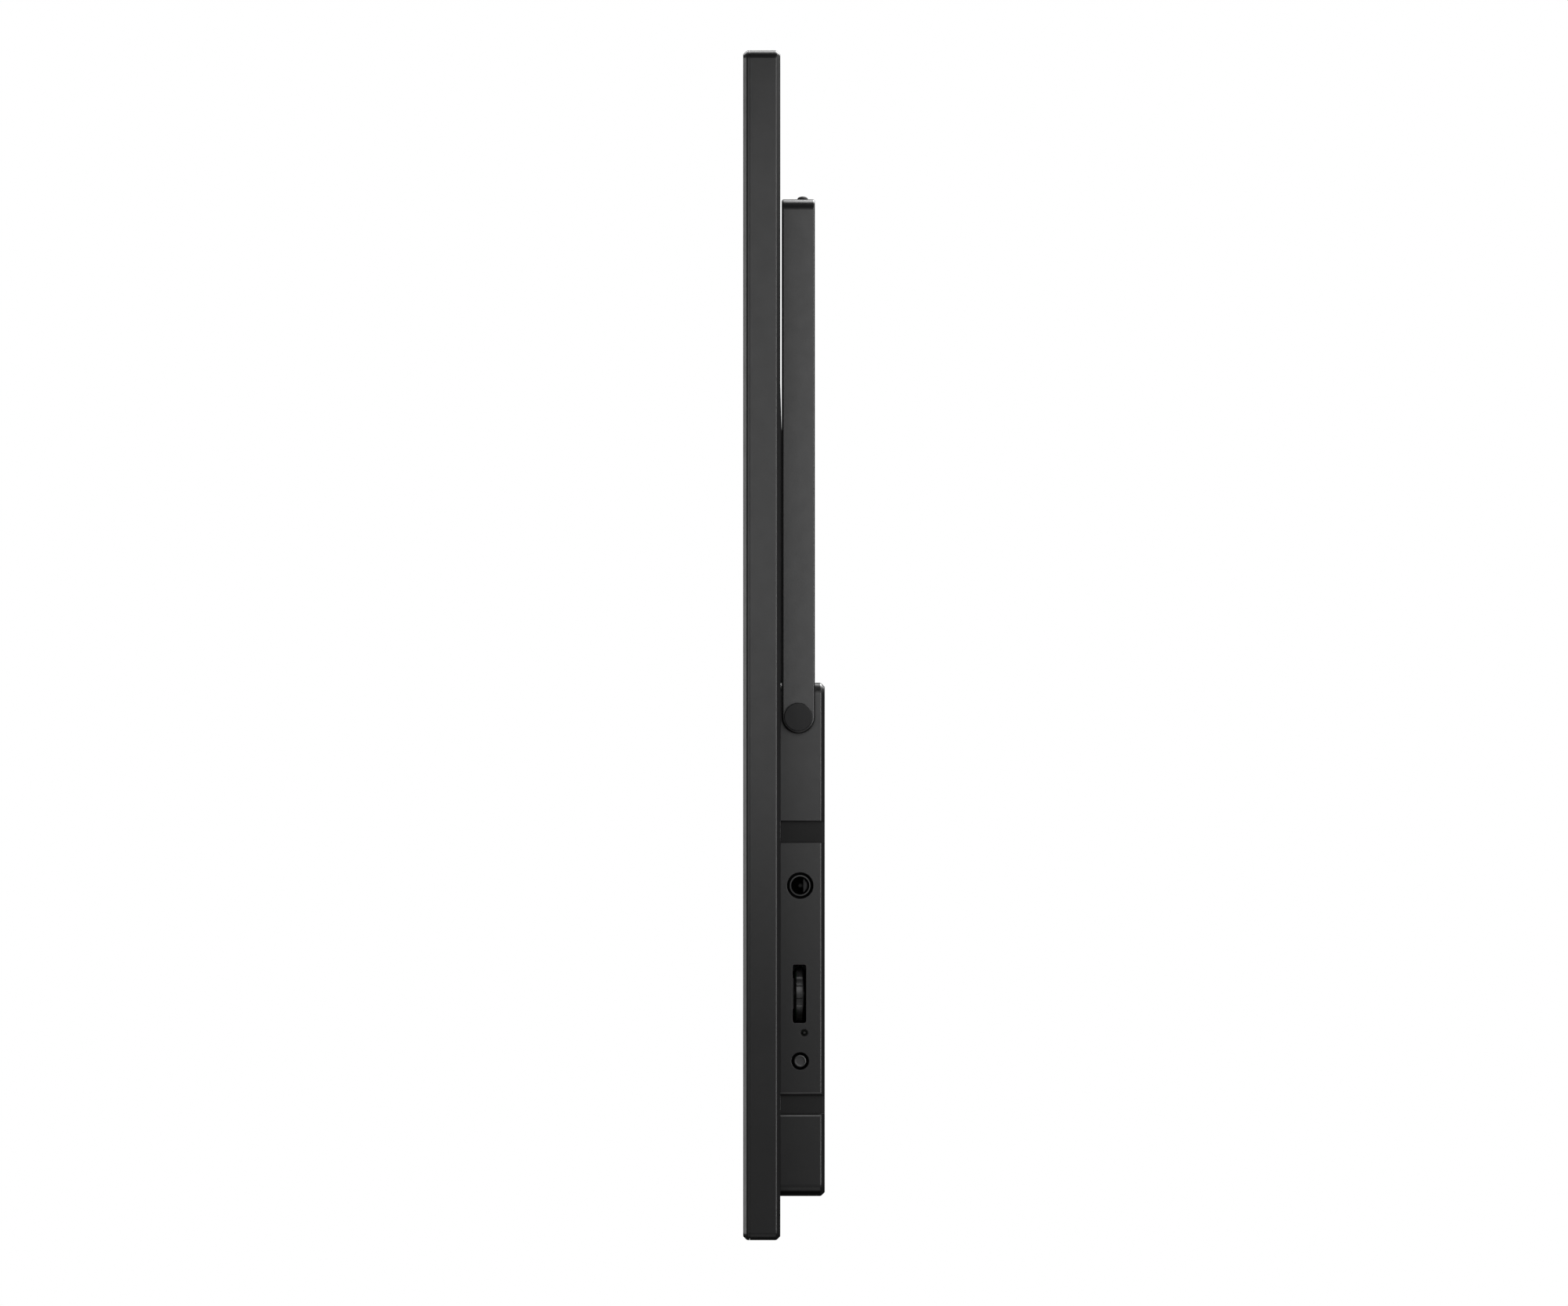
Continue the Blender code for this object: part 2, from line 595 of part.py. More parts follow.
def add_box_screws(asm, head):
    """Four pan-head screws, sunk in the box's rear face, that hold it to the shell."""
    shank, length = 0.0015, 0.0165
    profile = [(0, 0), (0.0021, 0), (0.0027, -0.0006), (0.0027, -0.0016), (shank, -0.0016)]
    profile += [(shank, 0.0008 - length), (0, -length)]
    template = turned("box_screw", profile, "Y", (0, 0, 0), 16)
    bpy.context.scene.collection.objects.link(template)
    data = with_cross_recess(template)
    for number, (x, z) in enumerate(box_screw_places(), 1):
        screw = bpy.data.objects.new(f"box_screw_{number}", data.copy())
        screw.matrix_basis = Matrix.Translation((x, BOX_REAR - 0.0005, z)) @ ALONG["Y"]
        asm.add(screw, "black_steel", head)
    bpy.data.meshes.remove(data)


def add_board(asm, head):
    """The control board, held between the box's posts and the shell's pads, and what is soldered to it."""
    low, high = zip(BOARD_X, BOARD_Y, BOARD_Z)
    asm.add(slab("control_board", low, high, 0.002), "board", head)

    chip = slab("controller_chip", (0.004, PARTS_FRONT, -0.128), (0.014, PARTS_FRONT + 0.0014, -0.118))
    asm.add(chip, "black_trim", head)

    profile = [(0, 0.0062), (0.0062, 0.0062), (0.0070, 0.0054), (0.0070, 0.0008), (0.0062, 0), (0, 0)]
    asm.add(turned("driver_inductor", profile, "Y", (0.020, PARTS_FRONT, -0.080), 24), "black_trim", head)

    can, length, rim = 0.0040, 0.0140, 0.0004
    profile = [(0, length), (can - rim, length), (can, length - rim), (can, rim), (can - rim, 0), (0, 0)]
    for number, x in enumerate((-0.034, -0.022), 1):
        place = (x, PARTS_FRONT + can, -0.118)
        asm.add(turned(f"driver_capacitor_{number}", profile, "Z", place, 20), "aluminium", head)

    base, height, fin, pitch, count = 0.0020, 0.0085, 0.0010, 0.0040, 8
    left = -0.046
    comb = [(left, PARTS_FRONT), (left + (count - 1) * pitch + fin, PARTS_FRONT)]
    for number in reversed(range(count)):
        start = left + number * pitch
        comb += [(start + fin, PARTS_FRONT + height), (start, PARTS_FRONT + height)]
        if number:
            comb += [(start, PARTS_FRONT + base), (start - pitch + fin, PARTS_FRONT + base)]
    asm.add(outline("driver_heatsink", comb, 0.026, "XY", (0, 0, -0.080)), "aluminium", head)

    plug = slab("lead_connector", (-0.009, PARTS_FRONT, -0.152), (0.009, PARTS_FRONT + 0.0055, -0.146))
    asm.add(plug, "white_plastic", head)


def add_socket(asm, head):
    """The power socket: a block on the board, a nose in the box's side, a pin and a spring contact."""
    y, z = SOCKET_AT
    half, back, mouth = 0.0046, BOX_SIDE - 0.016, BOX_SIDE - 0.0014
    block = slab(
        "dc_socket", (back, PARTS_FRONT, z - half), (INNER_SIDE - GAP, y + half - 0.00025, z + half)
    )
    asm.add(block, "black_trim", head)
    start, bottom, end = INNER_SIDE - 0.002, back + 0.004, mouth + PAST
    nose_middle, bore_middle = ((mouth + start) / 2, y, z), ((end + bottom) / 2, y, z)
    asm.join(block, cylinders("socket_nose", SOCKET_NOSE_RADIUS, mouth - start, "X", [nose_middle], 32))
    asm.cut(block, cylinders("socket_bore", SOCKET_BORE_RADIUS, end - bottom, "X", [bore_middle], 28))

    pin, length = SOCKET_PIN_RADIUS, 0.0092
    profile = [(0, length), (pin * 0.6, length), (pin, length - 0.0004), (pin, 0), (0, 0)]
    asm.add(turned("dc_socket_pin", profile, "X", (bottom + GAP, y, z), 16), "steel", head)
    near, far = (bottom + 0.001, y + 0.0023, z - 0.0010), (mouth - 0.0015, y + 0.0027, z + 0.0010)
    asm.add(slab("dc_socket_contact", near, far), "steel", head)


def add_dimmer(asm, head):
    """The dimmer: a flat potentiometer on the board, and the toothed thumbwheel that turns on its post."""
    y, z = WHEEL_AT
    x = BOX_SIDE + WHEEL_PROUD - WHEEL_RADIUS
    low = y - WHEEL_THICKNESS / 2
    body = slab("dimmer_pot", (x - 0.0056, PARTS_FRONT, z - 0.0056), (x + 0.0050, low - GAP, z + 0.0056))
    asm.add(body, "black_trim", head)
    top = y + WHEEL_THICKNESS / 2 + 0.0003
    post = cylinders("dimmer_post", 0.0015, top - low + 0.001, "Y", [(x, (top + low - 0.001) / 2, z)], 16)
    asm.join(body, post)

    axis = new_empty("dimmer_axis", asm.parts, (x, y, z), head)
    rim = []
    for tooth in range(WHEEL_TEETH):
        for share, radius in ((0.0, WHEEL_RADIUS - 0.0006), (0.25, WHEEL_RADIUS), (0.75, WHEEL_RADIUS)):
            angle = 2 * math.pi * (tooth + share) / WHEEL_TEETH
            rim.append((radius * math.cos(angle), radius * math.sin(angle)))
    wheel = asm.add(outline("dimmer_wheel", rim, WHEEL_THICKNESS, "XZ"), "black_trim", axis)
    thick = WHEEL_THICKNESS
    asm.cut(wheel, cylinders("wheel_bore", 0.0018, thick + 0.002, "Y", [(0, 0, 0)], 16))


def add_indicator(asm, head):
    """A light pipe in its hole and the LED behind it."""
    y, z = INDICATOR_AT
    radius = INDICATOR_RADIUS - GAP
    profile = [(0, -0.0001), (radius * 0.7, -0.0001), (radius, -0.0004), (radius, -0.0023)]
    profile += [(0.0017, -0.0023), (0.0017, -0.0031), (radius, -0.0031), (radius, -0.0052), (0, -0.0052)]
    asm.add(turned("indicator_lens", profile, "X", (BOX_SIDE, y, z), 16), "lens", head)
    led = slab("indicator_led", (0.0655, PARTS_FRONT, z - 0.0015), (0.0695, y + 0.0014, z + 0.0015))
    asm.add(led, "white_plastic", head)


def add_button(asm, head):
    """The power button, kept in by its flange, and the switch that its stem presses."""
    y, z = BUTTON_AT
    axis = new_empty("button_axis", asm.parts, (BOX_SIDE, y, z), head)
    back = BOX_WALL + 0.0005
    rim, flange, stem = 0.0003, 0.0035, 0.0012
    profile = [(0, BUTTON_PROUD), (BUTTON_RADIUS - rim, BUTTON_PROUD), (BUTTON_RADIUS, BUTTON_PROUD - rim)]
    profile += [(BUTTON_RADIUS, -back), (flange, -back), (flange, -back - 0.0010)]
    profile += [(stem, -back - 0.0010), (stem, -back - 0.0016), (0, -back - 0.0016)]
    asm.add(turned("power_button", profile, "X", (0, 0, 0), 24), "black_trim", axis)

    face = BOX_SIDE - 0.006
    switch = slab("power_switch", (face - 0.0035, PARTS_FRONT, z - 0.003), (face, y + 0.003, z + 0.003))
    asm.add(switch, "black_trim", head)
    asm.join(switch, cylinders("switch_plunger", 0.0016, 0.0016, "X", [(face + 0.0002, y, z)], 16))


def add_leads(asm, head):
    """Two leads from the board, through the shell's cable window, to the lower ends of the LED strips."""
    layer = FOAM_Y + FOAM_THICKNESS / 2
    strip_x = SPREADER_SIZE[0] / 2 - 0.0018
    strip_y = GUIDE_Y + GUIDE_SIZE[1] / 2
    low = MIDDLE - SPREADER_SIZE[2] / 2 - 0.0031
    for side, label in ((-1, "left"), (1, "right")):
        curve = bpy.data.curves.new(f"led_lead_{label}", "CURVE")
        curve.dimensions = "3D"
        curve.bevel_depth = 0.0007
        curve.bevel_resolution = 1
        curve.use_fill_caps = True
        route = [
            (0.004, -0.0010, -0.1523), (0.004, -0.0012, -0.1600), (0.005, -0.0030, -0.1645),
            (0.006, -0.0070, -0.1660), (0.009, layer, -0.1680), (0.016, layer, -0.1760),
            (0.030, layer, low), (0.108, layer, low), (0.1155, layer - 0.0008, low),
            (0.1195, layer - 0.0035, low), (strip_x, strip_y, low),
        ]
        points = smooth_route([Vector((side * x, y, z)) for x, y, z in route], 3)
        spline = curve.splines.new("POLY")
        spline.points.add(len(points) - 1)
        for point, place in zip(spline.points, points):
            point.co = (*place, 1)
        asm.add(bpy.data.objects.new(curve.name, curve), "wire", head)


def smooth_route(points, steps):
    """Points on a smooth curve through the given ones."""
    ends = [2 * points[0] - points[1], *points, 2 * points[-1] - points[-2]]
    smooth = []
    for a, b, c, d in zip(ends, ends[1:], ends[2:], ends[3:]):
        for step in range(steps):
            t = step / steps
            bend, twist = 2 * a - 5 * b + 4 * c - d, 3 * b - a - 3 * c + d
            smooth.append((2 * b + (c - a) * t + bend * t**2 + twist * t**3) / 2)
    return smooth + [points[-1]]


# ---------------------------------------------------------------- pivots


def add_pivots(asm, head):
    """On each side, from outside in: cap, screw, friction washer, spring washer and nut plate."""
    seat = ARM_OUTSIDE + GAP - BOX_SIDE  # the screw head's underside, out from the box's side
    head_thick, head_radius = 0.0012, 0.0042
    for side, label, axis in ((-1, "left", "-X"), (1, "right", "X")):
        place = (side * BOX_SIDE, 0, 0)
        top = seat + head_thick
        profile = [(0, top - 0.0006), (0.0014, top - 0.0006), (0.0014, top), (head_radius - 0.0002, top)]
        profile += [(head_radius, top - 0.0002), (head_radius, seat), (PIVOT_SHANK_RADIUS, seat)]
        profile += [(PIVOT_SHANK_RADIUS, -0.0065), (0, -0.0065)]
        asm.add(turned(f"pivot_screw_{label}", profile, axis, place, 24), "steel", head)

        outer, inner, height = PIVOT_CAP_RADIUS, PIVOT_CAP_RADIUS - 0.0006, top + GAP
        profile = [(0, height + 0.0007), (outer - 0.0003, height + 0.0007), (outer, height + 0.0004)]
        profile += [(outer, seat), (inner, seat), (inner, height), (0, height)]
        asm.add(turned(f"pivot_cap_{label}", profile, axis, place, 32), "black_trim", head)

        outer, thick = FRICTION_WASHER
        hole = PIVOT_HOLE_RADIUS
        profile = [(outer, GAP + thick), (outer, GAP), (hole, GAP), (hole, GAP + thick)]
        asm.add(turned(f"friction_washer_{label}", profile, axis, place, 24, True), "black_trim", head)

        inside, rim, leaf = -BOX_WALL - GAP, 0.0050, 0.0004
        profile = [(rim, inside - leaf), (rim, inside - 2 * leaf), (hole, inside - leaf), (hole, inside)]
        asm.add(turned(f"spring_washer_{label}", profile, axis, place, 24, True), "steel", head)

        near, far = side * (BOX_SIDE + inside - 0.0011), side * (BOX_SIDE + inside - 0.0041)
        low_x, high_x = sorted((near, far))
        plate = slab(f"pivot_nut_{label}", (low_x, -0.0055, -0.008), (high_x, 0.0055, 0.008), 0)
        asm.add(plate, "steel", head)
        asm.cut(plate, cylinders(f"nut_hole_{label}", hole, 0.01, "X", [((near + far) / 2, 0, 0)], 20))


# ---------------------------------------------------------------- assembly


def main():
    for item in list(bpy.data.objects):
        bpy.data.objects.remove(item, do_unlink=True)
    asm = Assembly("led_panel_light")
    head = new_empty("tilt_axis", asm.parts, (0, 0, -YOKE_REACH))
    add_yoke(asm)
    add_bezel(asm, head)
    add_rear_shell(asm, head)
    add_light_stack(asm, head)
    add_shell_screws(asm, head)
    add_box(asm, head)
    add_box_screws(asm, head)
    add_board(asm, head)
    add_socket(asm, head)
    add_dimmer(asm, head)
    add_indicator(asm, head)
    add_button(asm, head)
    add_leads(asm, head)
    add_pivots(asm, head)


main()
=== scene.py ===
"""The looks of the LED panel light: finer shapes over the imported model, finishes, camera and lights.

Metres, +Z up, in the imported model's own frame. The panel shines towards -Y and its controls face +X.
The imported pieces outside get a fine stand-in each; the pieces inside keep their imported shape.
"""

import math

import bmesh
import bpy
from mathutils import Matrix, Vector


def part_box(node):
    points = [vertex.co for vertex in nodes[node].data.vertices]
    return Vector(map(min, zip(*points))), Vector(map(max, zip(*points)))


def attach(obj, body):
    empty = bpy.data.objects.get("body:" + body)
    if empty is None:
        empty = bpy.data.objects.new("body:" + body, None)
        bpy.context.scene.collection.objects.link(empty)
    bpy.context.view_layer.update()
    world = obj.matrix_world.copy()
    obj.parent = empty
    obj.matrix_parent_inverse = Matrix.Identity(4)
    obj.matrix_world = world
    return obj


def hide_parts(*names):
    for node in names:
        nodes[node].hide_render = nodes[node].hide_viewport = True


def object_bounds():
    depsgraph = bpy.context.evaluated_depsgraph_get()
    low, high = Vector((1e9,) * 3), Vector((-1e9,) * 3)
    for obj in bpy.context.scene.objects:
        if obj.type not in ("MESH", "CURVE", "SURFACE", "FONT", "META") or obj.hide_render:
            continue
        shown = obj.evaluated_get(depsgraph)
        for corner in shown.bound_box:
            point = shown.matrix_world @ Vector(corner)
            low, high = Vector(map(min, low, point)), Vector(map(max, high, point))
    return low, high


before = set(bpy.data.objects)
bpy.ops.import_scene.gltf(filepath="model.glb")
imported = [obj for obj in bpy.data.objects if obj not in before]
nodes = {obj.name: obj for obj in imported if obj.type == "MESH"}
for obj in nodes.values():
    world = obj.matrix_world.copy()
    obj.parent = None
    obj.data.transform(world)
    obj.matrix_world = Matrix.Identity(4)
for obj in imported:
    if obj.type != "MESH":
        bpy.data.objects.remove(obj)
cad_low, cad_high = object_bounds()

# ---------------------------------------------------------------- materials


class Surface:
    """A Principled material whose texture nodes share one set of object coordinates."""

    def __init__(self, name, colour, roughness, metallic=0.0, **sockets):
        self.material = bpy.data.materials.new(name)
        self.material.use_nodes = True
        self.tree = self.material.node_tree
        self.shader = self.tree.nodes["Principled BSDF"]
        self.colour, self.roughness = colour, roughness
        self.set("Base Color", (*colour, 1.0))
        self.set("Roughness", roughness)
        self.set("Metallic", metallic)
        for socket, value in sockets.items():
            self.set(socket.replace("_", " "), value)
        self.place = self.node("ShaderNodeTexCoord").outputs["Object"]

    def set(self, socket, value):
        self.shader.inputs[socket].default_value = value

    def node(self, kind, **settings):
        made = self.tree.nodes.new(kind)
        for name, value in settings.items():
            setattr(made, name, value)
        return made

    def link(self, source, target):
        self.tree.links.new(source, target)

    def noise(self, scale, detail=2.0, roughness=0.5, stretch=(1, 1, 1)):
        """Noise with so many features a metre, drawn out along an axis where its stretch is small."""
        place = self.node("ShaderNodeMapping")
        place.inputs["Scale"].default_value = stretch
        self.link(self.place, place.inputs["Vector"])
        made = self.node("ShaderNodeTexNoise")
        made.inputs["Scale"].default_value = scale
        made.inputs["Detail"].default_value = detail
        made.inputs["Roughness"].default_value = roughness
        self.link(place.outputs["Vector"], made.inputs["Vector"])
        return made.outputs["Fac"]

    def range(self, source, low, high, start=0.3, end=0.7):
        made = self.node("ShaderNodeMapRange")
        made.inputs["From Min"].default_value = start
        made.inputs["From Max"].default_value = end
        made.inputs["To Min"].default_value = low
        made.inputs["To Max"].default_value = high
        self.link(source, made.inputs["Value"])
        return made.outputs["Result"]

    def drift(self, scale, share):
        """The colour goes up and down by a share of itself over broad, soft patches."""
        mix = self.node("ShaderNodeMix", data_type="RGBA")
        low = [c * (1 - share) for c in self.colour]
        high = [min(1.0, c * (1 + share)) for c in self.colour]
        mix.inputs["A"].default_value = (*low, 1.0)
        mix.inputs["B"].default_value = (*high, 1.0)
        self.link(self.range(self.noise(scale, 4.0, 0.6), 0.0, 1.0), mix.inputs["Factor"])
        self.link(mix.outputs["Result"], self.shader.inputs["Base Color"])
        return self

    def sheen(self, scale, spread):
        """The roughness goes up and down over small patches."""
        rough = self.range(self.noise(scale, 5.0, 0.65), self.roughness - spread, self.roughness + spread)
        self.link(rough, self.shader.inputs["Roughness"])
        return self

    def grain(self, height, depth, strength=1.0):
        """A raised grain from a height texture, so many metres deep."""
        bump = self.node("ShaderNodeBump")
        bump.inputs["Strength"].default_value = strength
        bump.inputs["Distance"].default_value = depth
        self.link(height, bump.inputs["Height"])
        self.link(bump.outputs["Normal"], self.shader.inputs["Normal"])
        return self


def moulded(name, colour, roughness, grain=0.00001, gloss=0.5):
    """Spark-eroded moulded plastic: a fine even grain, with faint broad changes of tone and sheen."""
    made = Surface(name, colour, roughness, Specular_IOR_Level=gloss)
    made.drift(22, 0.10).sheen(140, 0.03)
    return made.grain(made.noise(2600, 3.0, 0.6), grain).material


def coated(name, colour, roughness, gloss=0.62):
    """Powder coat: a soft orange peel under a satin face."""
    made = Surface(name, colour, roughness, Specular_IOR_Level=gloss)
    made.drift(30, 0.08).sheen(200, 0.03)
    return made.grain(made.noise(1100, 2.0, 0.5), 0.000012).material


def metal(name, colour, roughness, stretch=(1, 1, 1), scale=1500, depth=0.00002):
    """Bare or plated metal with fine working marks, drawn out along one axis."""
    made = Surface(name, colour, roughness, 1.0)
    made.drift(60, 0.08).sheen(400, 0.08)
    return made.grain(made.noise(scale, 2.0, 0.6, stretch), depth).material


def rubber(name):
    made = Surface(name, (0.016, 0.016, 0.016), 0.75, Specular_IOR_Level=0.35)
    made.drift(90, 0.15)
    return made.grain(made.noise(2200, 3.0, 0.7), 0.00005).material


def opal():
    """Opal acrylic with a fine matt face."""
    made = Surface("opal_acrylic", (0.84, 0.85, 0.84), 0.38, Subsurface_Weight=0.15, Subsurface_Scale=0.004)
    made.drift(9, 0.02).sheen(60, 0.04)
    return made.grain(made.noise(3000, 2.0, 0.5), 0.00001).material


def clear_acrylic():
    """Polished acrylic with the dots that draw the light out of its back."""
    made = Surface("clear_acrylic", (0.86, 0.93, 0.92), 0.06, Transmission_Weight=0.9, IOR=1.49)
    dots = made.node("ShaderNodeTexVoronoi", feature="F1")
    dots.inputs["Scale"].default_value = 420
    dots.inputs["Randomness"].default_value = 0.0
    made.link(made.place, dots.inputs["Vector"])
    made.link(made.range(dots.outputs["Distance"], 0.35, 0.05, 0.2, 0.3), made.shader.inputs["Roughness"])
    return made.material


def foam():
    """Open-cell foam."""
    made = Surface("open_cell_foam", (0.05, 0.05, 0.052), 0.95, Specular_IOR_Level=0.2)
    cells = made.node("ShaderNodeTexVoronoi", feature="DISTANCE_TO_EDGE")
    cells.inputs["Scale"].default_value = 900
    made.link(made.place, cells.inputs["Vector"])
    made.drift(120, 0.25)
    return made.grain(cells.outputs["Distance"], 0.0003).material


def circuit_board(name, mask, copper):
    """Solder mask with paler tracks under it."""
    made = Surface(name, mask, 0.38, Specular_IOR_Level=0.5)
    tracks = made.node("ShaderNodeTexBrick")
    tracks.inputs["Scale"].default_value = 130
    tracks.inputs["Mortar Size"].default_value = 0.06
    tracks.inputs["Color1"].default_value = (*mask, 1.0)
    tracks.inputs["Color2"].default_value = (*[c * 0.8 for c in mask], 1.0)
    tracks.inputs["Mortar"].default_value = (*copper, 1.0)
    turned = made.node("ShaderNodeMapping")
    turned.inputs["Rotation"].default_value = (math.pi / 2, 0, 0)
    made.link(made.place, turned.inputs["Vector"])
    made.link(turned.outputs["Vector"], tracks.inputs["Vector"])
    made.link(tracks.outputs["Color"], made.shader.inputs["Base Color"])
    made.sheen(300, 0.05)
    return made.grain(tracks.outputs["Fac"], 0.00003).material


def lens():
    """Smoked light pipe."""
    made = Surface("smoked_lens", (0.012, 0.013, 0.012), 0.25, Specular_IOR_Level=0.5)
    made.drift(300, 0.2)
    return made.grain(made.noise(900, 1.0), 0.00001).material


SHELL = moulded("textured_shell", (0.012, 0.012, 0.0124), 0.36)
BOX = moulded("textured_box", (0.012, 0.012, 0.0124), 0.36, gloss=0.60)
TRIM = moulded("moulded_trim", (0.014, 0.014, 0.0145), 0.42)
COAT = coated("satin_powder_coat", (0.013, 0.013, 0.0134), 0.32)
RUBBER = rubber("matt_rubber")
OPAL = opal()
ACRYLIC = clear_acrylic()
FILM = moulded("white_film", (0.88, 0.88, 0.87), 0.45, 0.00001)
ALUMINIUM = metal("aluminium", (0.70, 0.71, 0.72), 0.38, (1, 1, 0.03))
STEEL = metal("plated_steel", (0.42, 0.42, 0.43), 0.34, (0.05, 1, 1))
BLACK_STEEL = metal("black_oxide_steel", (0.045, 0.045, 0.045), 0.42)
BRASS = metal("machined_brass", (0.66, 0.49, 0.22), 0.30, (1, 1, 8), 900)
FOAM = foam()
GREEN_BOARD = circuit_board("green_board", (0.012, 0.120, 0.045), (0.05, 0.20, 0.08))
WHITE_BOARD = circuit_board("white_board", (0.80, 0.80, 0.77), (0.70, 0.68, 0.60))
LENS = lens()
# painted shade: a darker, smooth copy of the box plastic for the faces inside and in hollows, where shade
# falls
CAVITY_PAINTED_SHADE = moulded("smooth_cavity_painted_shade", (0.005, 0.005, 0.0052), 0.42, 0.000004, gloss=0.26)
# painted light: a lighter copy of the black plastic, so the socket's nose reads lit inside the opening's
# shade
SOCKET_PAINTED_LIGHT = moulded("socket_plastic_painted_light", (0.030, 0.030, 0.0305), 0.38, gloss=0.85)
# painted light: a lighter copy of the black plastic, so the wheel reads grey inside the slot's shade
WHEEL_PAINTED_LIGHT = moulded("wheel_plastic_painted_light", (0.026, 0.026, 0.0265), 0.30, gloss=0.9)
BUTTON = moulded("button_plastic", (0.024, 0.024, 0.0245), 0.38, gloss=0.85)
# painted shade: near black, for the shade deep in the socket's bore and in the gap round the button
PIT_PAINTED_SHADE = moulded("deep_pit_painted_shade", (0.002, 0.002, 0.0021), 0.60, 0.000004, gloss=0.05)
# painted shade: the lower groove's floor is darker than the box plastic, for the shade inside the groove
GROOVE_FLOOR_PAINTED_SHADE = moulded("groove_floor_painted_shade", (0.008, 0.008, 0.0082), 0.40, 0.000006, gloss=0.42)
# painted highlight: the lower groove's lips are lighter and glossier than the box plastic, for the light that
# their rounded edges catch
LIP_PAINTED_HIGHLIGHT = moulded("lip_painted_highlight", (0.020, 0.020, 0.0205), 0.30, 0.000004, gloss=1.0)
# painted shade: the socket's pin is darkened, for the shade deep in its bore
PIN_PAINTED_SHADE = metal("pin_painted_shade", (0.018, 0.018, 0.018), 0.55)
# painted shade: the socket's contact is darkened to a dark grey, for the shade in its bore
CONTACT_PAINTED_SHADE = metal("contact_painted_shade", (0.055, 0.055, 0.056), 0.50)
CAP = moulded("cap_plastic", (0.010, 0.010, 0.0105), 0.42, gloss=0.28)
NYLON = moulded("natural_nylon", (0.74, 0.72, 0.66), 0.48, 0.00002)
WIRE = moulded("wire_insulation", (0.26, 0.025, 0.025), 0.45, 0.00001)

LOOKS = {
    "yoke": COAT, "stand_insert": BRASS, "yoke_foot": RUBBER, "front_bezel": SHELL, "rear_shell": SHELL,
    "diffuser": OPAL, "light_guide": ACRYLIC, "reflector_sheet": FILM, "heat_spreader": ALUMINIUM,
    "led_strip": WHITE_BOARD, "foam_pad": FOAM, "shell_screw": BLACK_STEEL, "control_box": BOX,
    "box_screw": BLACK_STEEL, "control_board": GREEN_BOARD, "controller_chip": TRIM, "driver_inductor": TRIM,
    "driver_capacitor": ALUMINIUM, "driver_heatsink": ALUMINIUM, "lead_connector": NYLON, "led_lead": WIRE,
    "dc_socket": TRIM, "dc_socket_pin": PIN_PAINTED_SHADE, "dc_socket_contact": CONTACT_PAINTED_SHADE, "dimmer_pot": TRIM,
    "dimmer_wheel": TRIM, "indicator_lens": LENS, "indicator_led": NYLON, "power_button": TRIM,
    "power_switch": TRIM, "pivot_screw": STEEL, "pivot_cap": TRIM, "friction_washer": RUBBER,
    "spring_washer": STEEL, "pivot_nut": STEEL,
}


def look_for(node):
    """The finish of a node, by the longest name that it starts with."""
    return LOOKS[max((name for name in LOOKS if node.startswith(name)), key=len)]


# ---------------------------------------------------------------- shapes

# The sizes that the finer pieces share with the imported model
TILT_AXIS_Z = -0.1885
PANEL_HALF = ((cad_high.x - cad_low.x) / 2, (cad_high.z - cad_low.z) / 2)
PANEL_MIDDLE = (cad_high.z + cad_low.z) / 2
PANEL_FRONT = cad_low.y
PANEL_REAR = PANEL_FRONT + 0.0135
PANEL_CORNER = 0.0030
CHAMFER = 0.0014
FACE_ROUND = 0.0004  # between a chamfer and the front or rear face
BEZEL_BACK = PANEL_FRONT + 0.0023
BEZEL_LIP = 0.0012
RIM_WIDTH = 0.0130
WINDOW_CORNER = 0.0020
SHELL_WALL = 0.0018
SHELL_BACK = 0.0016
SHELL_SCREWS = (0.1256, 0.2116, 0.150)  # out to the sides, up and down from the middle, between rows
FIELD = (0.060, 0.0008, 0.081, 0.036)  # half width, height, length of the flat, length of the ramp
BOX_HALF = (0.075, 0.09345)
BOX_MIDDLE = cad_low.z + 0.0154 + BOX_HALF[1]
BOX_CORNER = 0.0045
BOX_REAR = cad_high.y
BOX_WALL = 0.0020
BOX_SCREW_OUT = 0.052  # to each side of the middle
BOX_SCREW_RISES = (0.0034, -0.1655)  # from the tilt axis
CABLE_RISE = -0.1655  # the window for the leads, from the tilt axis
VENT_ROWS = (-0.034, -0.064)  # the slots' lower ends, from the tilt axis
VENT_COUNT, VENT_PITCH, VENT_HALF = 7, 0.008, 0.012
PIVOT_HOLE = 0.0028
GROOVE_DEPTH = 0.0025
GROOVES = ((-0.2343, -0.2263, 0.00015), (-0.3329, -0.3262, 0.0011))  # low, high, round of the lips
SOCKET_AT = (0.00065, -0.2499)
WHEEL_AT = (0.0662, 0.00035, -0.2893)
INDICATOR_AT = (0.00215, -0.3035)
BUTTON_AT = (0.00065, -0.3138)
FOOT_AT = (0.060, 0.0016)
CLEAR = 0.0003  # air round what moves or is cut out
TOUCH = 0.00002  # between faces that meet
EDGE_ROUND = 0.0012  # between a side and its chamfer
INTO = 0.0005  # how far a joined solid reaches into the one that it joins
THROUGH_WALL = 0.004  # the depth of a cutter that opens a wall

FACING = {  # (across, up, out) to (x, y, z)
    "X": lambda a, u, o: (o, a, u),
    "-X": lambda a, u, o: (-o, a, u),
    "Y": lambda a, u, o: (a, o, u),
    "Z": lambda a, u, o: (a, u, o),
}


def rounded(across, up, corner, grow=0.0, steps=10):
    """A rectangle with round corners, by its half sizes; a circle where all three are equal."""
    corner = max(corner + grow, 0.00001)
    across, up = across + grow - corner, up + grow - corner
    points = []
    for quarter, (a, u) in enumerate(((1, 1), (-1, 1), (-1, -1), (1, -1))):
        for step in range(steps + 1):
            angle = math.pi / 2 * (quarter + step / steps)
            points.append((a * across + corner * math.cos(angle), u * up + corner * math.sin(angle)))
    return points


def circle(radius, steps=10):
    return rounded(radius, radius, radius, 0.0, steps)


